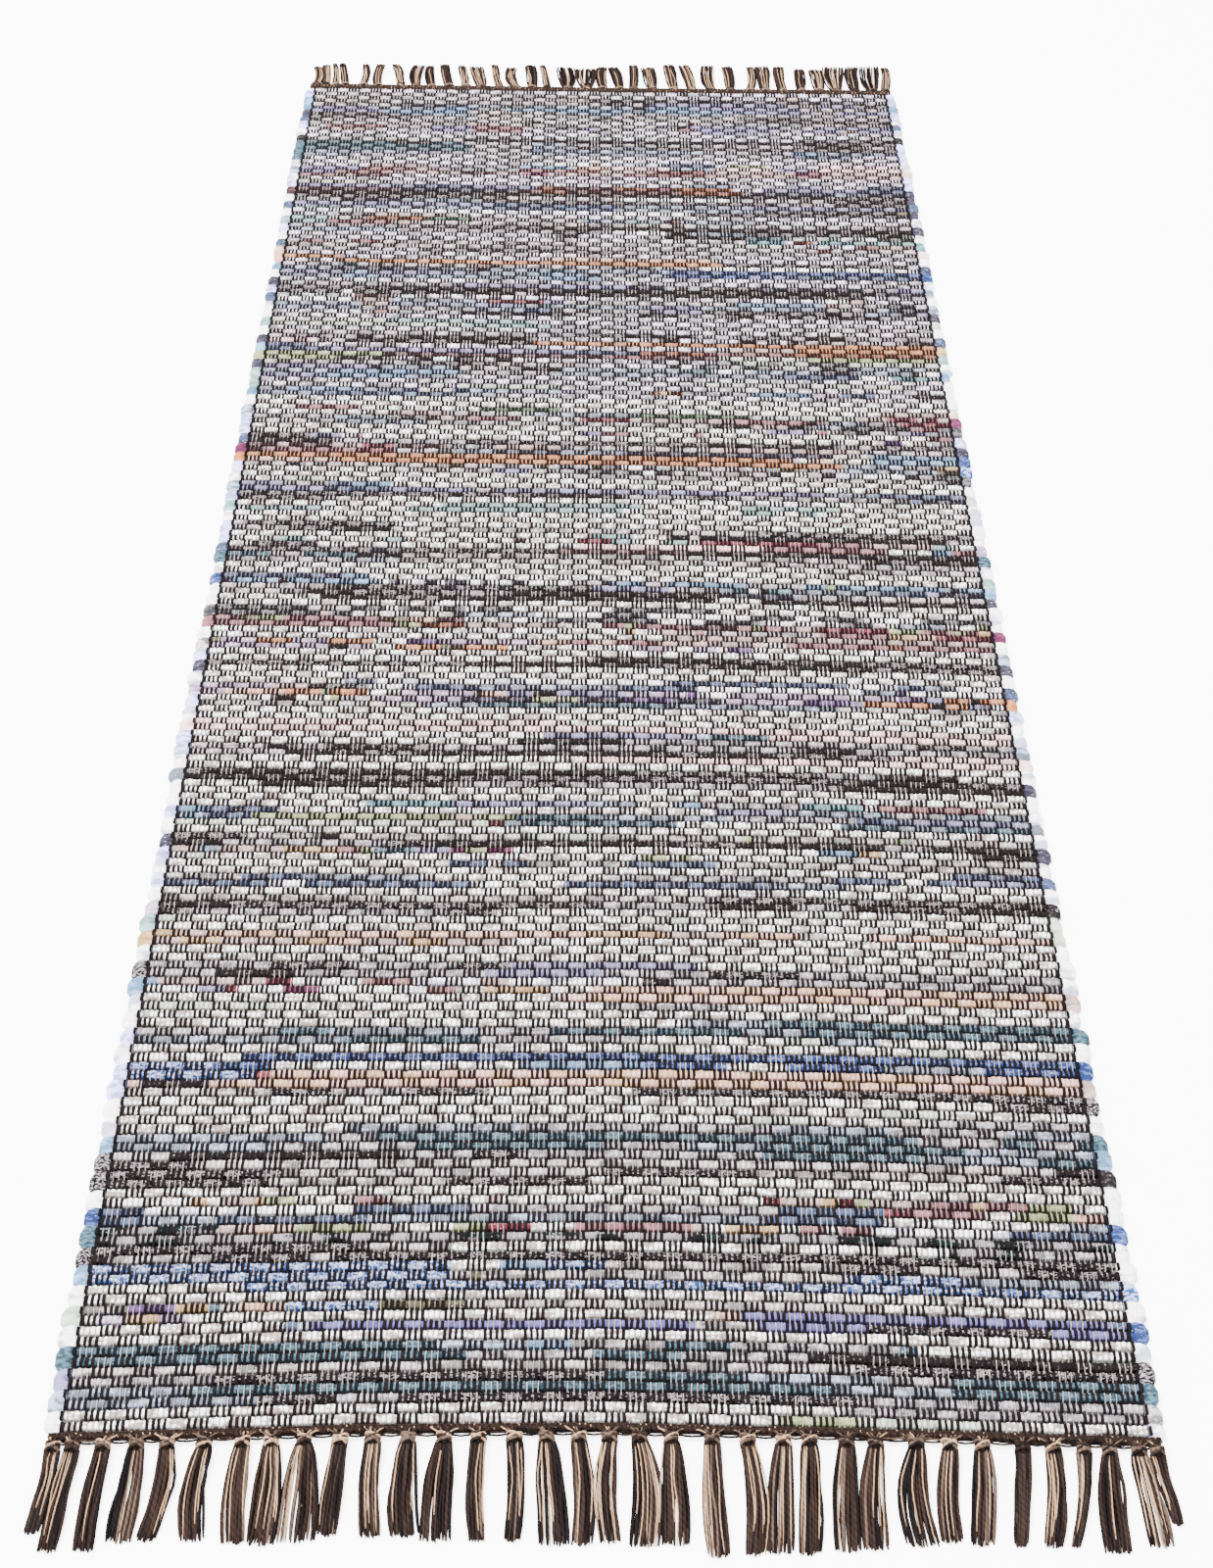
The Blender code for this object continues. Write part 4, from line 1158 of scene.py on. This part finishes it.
FAR_TASSELS = (
    # knot    left     right    reach
    (-0.3415, -0.3490, -0.3398, 1.079),
    (-0.3296, -0.3386, -0.3284, 1.084),
    (-0.3180, -0.3266, -0.3206, 1.087),
    (-0.3067, -0.3188, -0.3108, 1.088),
    (-0.2854, -0.2896, -0.2816, 1.086),
    (-0.2670, -0.2726, -0.2618, 1.086),
    (-0.2400, -0.2537, -0.2450, 1.086),
    (-0.2210, -0.2283, -0.2139, 1.084),
    (-0.2026, -0.2120, -0.2024, 1.082),
    (-0.1810, -0.1950, -0.1842, 1.086),
    (-0.1606, -0.1728, -0.1627, 1.083),
    (-0.1417, -0.1587, -0.1430, 1.081),
    (-0.1208, -0.1330, -0.1242, 1.086),
    (-0.1010, -0.1134, -0.1012, 1.078),
    (-0.0810, -0.0918, -0.0790, 1.085),
    (-0.0634, -0.0745, -0.0668, 1.085),
    (-0.0390, -0.0534, -0.0326, 1.080),
    (-0.0160, -0.0291, -0.0049, 1.076),
    (0.0040, -0.0030, 0.0086, 1.080),
    (0.0230, 0.0095, 0.0209, 1.080),
    (0.0400, 0.0351, 0.0459, 1.086),
    (0.0628, 0.0500, 0.0648, 1.080),
    (0.0884, 0.0766, 0.0898, 1.088),
    (0.1100, 0.0958, 0.1080, 1.087),
    (0.1336, 0.1242, 0.1390, 1.086),
    (0.1560, 0.1478, 0.1607, 1.083),
    (0.1798, 0.1778, 0.1880, 1.082),
    (0.1980, 0.1892, 0.2047, 1.084),
    (0.2196, 0.2112, 0.2234, 1.083),
    (0.2410, 0.2360, 0.2486, 1.076),
    (0.2628, 0.2540, 0.2689, 1.075),
    (0.2837, 0.2722, 0.2960, 1.084),
    (0.3060, 0.2993, 0.3147, 1.083),
    (0.3270, 0.3182, 0.3403, 1.085),
    (0.3415, 0.3424, 0.3520, 1.081),
)


def end_edge(cloth, outward, across):
    """Where the cloth ends at across, along the rug."""
    edge = cloth["high"][-1] if outward > 0 else cloth["low"][0]
    return np.interp(across, cloth["ends"], edge)


def build_heading(cloth, outward, picks, top, name, node, yarns):
    """Dark yarn picks along the end of the cloth, with light warps showing between them."""
    rng = np.random.default_rng(41 + outward)
    across = np.linspace(-HEADING_SIDE, HEADING_SIDE, END_COUNT)
    edge = end_edge(cloth, outward, across) + outward * SEAM_GAP
    grid = np.empty((picks, END_COUNT, len(PICK_STEPS), 3))
    for pick in range(picks):
        dip = PICK_DIP * (-1.0) ** (np.arange(END_COUNT) + pick)
        wander = rng.normal(0.0, PICK_STRAY, END_COUNT)
        levels = [top - PICK_SIDE, top + dip, top + dip, top - PICK_SIDE]
        if pick == picks - 1:
            levels[-1] = HEADING_FOOT
        for step, place in enumerate(PICK_STEPS):
            grid[pick, :, step, 0] = across
            grid[pick, :, step, 1] = edge + outward * ((place + pick) * PICK_PITCH) + wander
            grid[pick, :, step, 2] = levels[step]

    specks = across[1::2] + rng.normal(0.0, SPECK_STRAY, END_COUNT // 2)
    marks = np.empty((len(specks), 3, 2, 3))
    start = end_edge(cloth, outward, specks)
    row = rng.integers(0, 3, len(specks))
    for step, place in enumerate((0.0, 0.5, 1.0)):
        out = (row + SPECK_START + place * SPECK_LENGTH) * PICK_PITCH
        for number, side in enumerate((1, -1)):
            marks[:, step, number, 0] = specks + side * SPECK_HALF_WIDTH + (place - 0.5) * SPECK_SLANT
            marks[:, step, number, 1] = start + outward * out
            marks[:, step, number, 2] = top - SPECK_FOOT + SPECK_ARCH * (place == 0.5)

    # Turned round, the near end's grids face up as well
    if outward < 0:
        grid = grid[:, :, ::-1]
        marks = marks[:, ::-1]
    mark_kinds = rng.choice((BEIGE, TAUPE, BROWN), len(marks))
    families = [(grid, BROWN, False, 1), (marks, mark_kinds, False, 26)]
    return new_piece(name, families, yarns, node)


def smooth_paths(controls, steps):
    """Smooth curves through control points of shape (count, controls, 3)."""
    count, size, _ = controls.shape
    padded = np.concatenate([controls[:, :1], controls, controls[:, -1:]], axis=1)
    places = np.linspace(0.0, size - 1 - 1e-6, steps)
    start = places.astype(int)
    share = (places - start)[None, :, None]
    before, first = padded[:, start], padded[:, start + 1]
    second, after = padded[:, start + 2], padded[:, start + 3]
    slope_in, slope_out = (second - before) / 2, (after - first) / 2
    return (
        first * (2 * share**3 - 3 * share**2 + 1)
        + slope_in * (share**3 - 2 * share**2 + share)
        + second * (3 * share**2 - 2 * share**3)
        + slope_out * (share**3 - share**2)
    )


def wound_yarns(knots, centre, outward, rng):
    """The yarns that are wound round the knots, as a family of grids."""
    turns = np.linspace(0.0, 2.0 * math.pi, WRAP_STEPS)
    wraps, kinds = [], []
    for lean, shift in WRAPS:
        swell = rng.uniform(0.9, 1.1, (len(knots), 1))
        slope = lean * rng.uniform(0.7, 1.3, (len(knots), 1))
        path = np.empty((len(knots), len(turns), 3))
        path[..., 0] = knots[:, None] + KNOT_HALF_WIDTH * swell * np.cos(turns)
        path[..., 1] = centre[:, None] + outward * shift + slope * np.cos(turns)
        path[..., 2] = KNOT_MIDDLE + KNOT_HALF_HEIGHT * np.sin(turns)
        radii = np.full(path.shape[:2], WRAP_RADIUS)
        wraps.append(tubes(path, radii, 5, reference=(0.0, 1.0, 0.0)))
        kinds.append(rng.choice(len(YARNS), len(knots), p=KNOT_ODDS))
    return np.concatenate(wraps), np.concatenate(kinds), True, 12


def knot_cores(knots, centre, outward):
    """The thick insides of the knots, as a family of grids."""
    path = np.empty((len(knots), len(CORE_RADII), 3))
    path[..., 0] = knots[:, None]
    path[..., 1] = centre[:, None] + outward * np.linspace(*CORE_ENDS, len(CORE_RADII))
    path[..., 2] = CORE_HEIGHT
    return tubes(path, np.tile(CORE_RADII, (len(knots), 1)), 8), DARK, True, 6


def fan_yarns(knots, edge, centre, outward, rng):
    """The yarns that run over the heading into the knots, as a family of grids."""
    fans, kinds = [], []
    for place in FAN_PLACES:
        start = knots + place * FAN_HALF_WIDTH + rng.normal(0.0, FAN_STRAY, len(knots))
        start = np.clip(start, -HEADING_SIDE, HEADING_SIDE)
        # Across, along and height of the points that the yarns go through
        points = (
            (start, edge - outward * rng.uniform(*FAN_STARTS, len(knots)), 0.0044),
            (start * 0.75 + knots * 0.25, edge - outward * 0.0020, 0.0061),
            (start * 0.35 + knots * 0.65, edge + outward * 0.0004, 0.0058),
            (knots + place * FAN_KNOT_HALF_WIDTH, centre, 0.0054),
        )
        controls = np.empty((len(knots), len(points), 3))
        for step, (across, along, height) in enumerate(points):
            controls[:, step, 0] = across
            controls[:, step, 1] = along
            controls[:, step, 2] = height
        path = smooth_paths(controls, 6)
        fans.append(tubes(path, np.full(path.shape[:2], FAN_RADIUS), 4))
        kinds.append(rng.choice(len(YARNS), len(knots), p=KNOT_ODDS))
    return np.concatenate(fans), np.concatenate(kinds), True, 14


def heading_cords(knots, edge, outward, rng):
    """The loose yarns that hang from knot to knot, as a family of grids."""
    gaps = len(knots) - 1
    cords = []
    for sag in CORD_SAGS:
        controls = np.empty((gaps, CORD_POINTS, 3))
        for step, place in enumerate(np.linspace(0.0, 1.0, CORD_POINTS)):
            hang = sag * math.sin(math.pi * place) * rng.uniform(*CORD_CHANGE, gaps)
            controls[:, step, 0] = knots[:-1] * (1.0 - place) + knots[1:] * place
            controls[:, step, 1] = edge[:-1] * (1.0 - place) + edge[1:] * place + outward * hang
            controls[:, step, 2] = CORD_HEIGHT + CORD_RISE * abs(2.0 * place - 1.0)
        path = smooth_paths(controls, 7)
        cords.append(tubes(path, np.full(path.shape[:2], CORD_RADIUS), 4))
    kinds = rng.choice(len(YARNS), len(CORD_SAGS) * gaps, p=CORD_ODDS)
    return np.concatenate(cords), kinds, True, 10


def build_knots(cloth, outward, tassels, name, node, yarns):
    """The knots at one end, with the yarns that run into them and hang between them."""
    rng = np.random.default_rng(53 + outward)
    knots = np.array([tassel[0] for tassel in tassels])
    edge = end_edge(cloth, outward, knots) + outward * (SEAM_GAP + HEADING_WIDTH)
    centre = edge + outward * KNOT_OUT
    families = [
        wound_yarns(knots, centre, outward, rng),
        knot_cores(knots, centre, outward),
        fan_yarns(knots, edge, centre, outward, rng),
        heading_cords(knots, edge, outward, rng),
    ]
    return new_piece(name, families, yarns, node)


def loose_yarn_kind(place, tan_side, rng):
    """The number of the yarn at a place across a tassel, from -1 to 1."""
    odds = TAN_SIDE_ODDS if tan_side * place > TAN_START else YARN_ODDS
    if abs(place) > EDGE_START:
        odds = EDGE_ODDS
    return rng.choice(len(YARNS), p=odds)


def build_tassels(cloth, outward, tassels, name, node, yarns):
    """The loose yarns beyond each knot, lying on the floor in two layers."""
    rng = np.random.default_rng(67 + outward)
    controls, radii, kinds = [], [], []
    for knot, left, right, reach in tassels:
        edge = float(end_edge(cloth, outward, knot)) + outward * (SEAM_GAP + HEADING_WIDTH)
        root = edge + outward * (KNOT_OUT + ROOT_OUT)
        sway = rng.normal(0.0, TASSEL_SWAY)
        centre_tip = (left + right) / 2
        half = (right - left) / 2 * TIP_SPREAD - YARN_RADIUS
        tan_side = rng.choice((-1, 0, 1), p=TAN_SIDES)
        for yarn in range(YARNS_PER_TASSEL):
            place = 2.0 * (yarn + 0.5) / YARNS_PER_TASSEL - 1.0
            tip_place = float(np.clip(place + rng.normal(0.0, TIP_STRAY), -1.0, 1.0))
            tip = outward * (reach - rng.uniform(*TIP_SHORT) - SIDE_SHORT * abs(place))
            kind = loose_yarn_kind(place, tan_side, rng)
            thick = YARN_RADIUS * rng.uniform(*THICKNESS) * (BEIGE_THINNER if kind == BEIGE else 1.0)
            level = YARN_RADIUS * (BEIGE_LAYER if kind == BEIGE else LAYERS[yarn % 2])
            heights = (ROOT_HEIGHT, level + ROOT_LIFT, level, level, thick)
            path = []
            for along, height in zip(YARN_PLACES, heights):
                opened = 1.0 - (1.0 - along) ** SPREAD_POWER
                from_middle = place * KNOT_ROOT * (1.0 - opened) + tip_place * half * opened
                bend = math.sin(math.pi * along) * (sway + rng.normal(0.0, YARN_SWAY))
                x = knot + (centre_tip - knot) * along**1.2 + from_middle + bend
                path.append((x, root + (tip - root) * along, height))
            controls.append(path)
            radii.append([thick] * (YARN_STEPS - 1) + [thick * TIP_RADIUS])
            kinds.append(kind)
    paths = smooth_paths(np.array(controls), YARN_STEPS)
    grid = tubes(paths, np.array(radii), YARN_SIDES)
    grid[..., 2] = np.maximum(grid[..., 2], YARN_FOOT)
    return new_piece(name, [(grid, np.array(kinds), True, 20)], yarns, node)


# ---------------------------------------------------------------- the studio

WHITE = (1.0, 1.0, 1.0, 1.0)
FLOOR_SIZE = 60.0
FLOOR_GAP = 0.0002          # between the floor and the rug
FLOOR_COLOUR = (0.86, 0.86, 0.86, 1.0)
FLOOR_GLOW = 4.2            # the photo's ground is plain white
WORLD_STRENGTH = 4.8
SOFTBOX_SIDE = 3.4
SOFTBOX_WATTS = 1500.0
SOFTBOX_PLACE = (-2.2, 0.6, 5.2)
SOFTBOX_TURN = (-6.6, -23.0, 0.0)       # in degrees
CAMERA_LENS = 63.28         # focal length in mm
CAMERA_SENSOR = 36.0        # in mm
CAMERA_PLACE = (-0.0103, -2.1055, 1.3865)
CAMERA_TURN = (38.07, -0.4354, 0.3915)  # pitch, yaw and roll in degrees


def build_floor():
    """The white ground. Its edge shows only from low down, and never from the photo's side."""
    bpy.ops.mesh.primitive_plane_add(size=FLOOR_SIZE, location=(0.0, 0.0, -FLOOR_GAP))
    floor = bpy.context.object
    floor.name = "studio_floor"
    material = bpy.data.materials.new("studio_floor")
    material.use_nodes = True
    shader = material.node_tree.nodes["Principled BSDF"]
    shader.inputs["Base Color"].default_value = FLOOR_COLOUR
    shader.inputs["Emission Color"].default_value = WHITE
    shader.inputs["Emission Strength"].default_value = FLOOR_GLOW
    shader.inputs["Roughness"].default_value = 0.9
    shader.inputs["Specular IOR Level"].default_value = 0.0
    floor.data.materials.append(material)


def build_lights():
    """Even white light from all round, and a large softbox above the rug's left side."""
    world = bpy.data.worlds.new("studio")
    bpy.context.scene.world = world
    world.use_nodes = True
    background = world.node_tree.nodes["Background"]
    background.inputs["Color"].default_value = WHITE
    background.inputs["Strength"].default_value = WORLD_STRENGTH
    light = bpy.data.lights.new("softbox", "AREA")
    light.shape = "RECTANGLE"
    light.size = SOFTBOX_SIDE
    light.size_y = SOFTBOX_SIDE
    light.energy = SOFTBOX_WATTS
    softbox = bpy.data.objects.new("softbox", light)
    softbox.location = SOFTBOX_PLACE
    softbox.rotation_euler = Euler([math.radians(degrees) for degrees in SOFTBOX_TURN])
    bpy.context.collection.objects.link(softbox)


def build_camera():
    """The photo's viewpoint, worked out from the rug's four corners."""
    camera = bpy.data.cameras.new("camera")
    camera.lens = CAMERA_LENS
    camera.sensor_width = CAMERA_SENSOR
    camera.sensor_fit = "AUTO"
    view = bpy.data.objects.new("camera", camera)
    view.location = CAMERA_PLACE
    pitch, yaw, roll = (math.radians(degrees) for degrees in CAMERA_TURN)
    turn = Euler((math.pi / 2 - pitch, 0.0, yaw)).to_matrix() @ Euler((0.0, 0.0, roll)).to_matrix()
    view.rotation_euler = turn.to_euler()
    bpy.context.collection.objects.link(view)
    bpy.context.scene.camera = view


def main():
    cloth = weave()
    rag_materials = [cloth_material(*row[:6]) for row in CLOTHS]
    yarns = [yarn_material(*row) for row in YARNS]
    # The inner layer is dark yarn: the dark warps between the rows, and partly painted shade there
    base = build_base(cloth, yarns[DARK])
    pieces = build_sections(cloth, rag_materials, yarns[:2])
    pieces.append(build_edge_warps(cloth, yarns[:1]))
    pieces.append(build_selvage(cloth, -1, rag_materials))
    pieces.append(build_selvage(cloth, 1, rag_materials))
    ends = (
        (-1, "near", NEAR_PICKS, NEAR_TOP, NEAR_TASSELS),
        (1, "far", FAR_PICKS, FAR_TOP, FAR_TASSELS),
    )
    for outward, end, picks, top, tassels in ends:
        node = f"fringe_{end}"
        pieces.append(build_heading(cloth, outward, picks, top, f"heading_{end}", node, yarns))
        pieces.append(build_knots(cloth, outward, tassels, f"knots_{end}", node, yarns))
        pieces.append(build_tassels(cloth, outward, tassels, f"tassels_{end}", node, yarns))
    build_floor()
    build_lights()
    build_camera()


main()
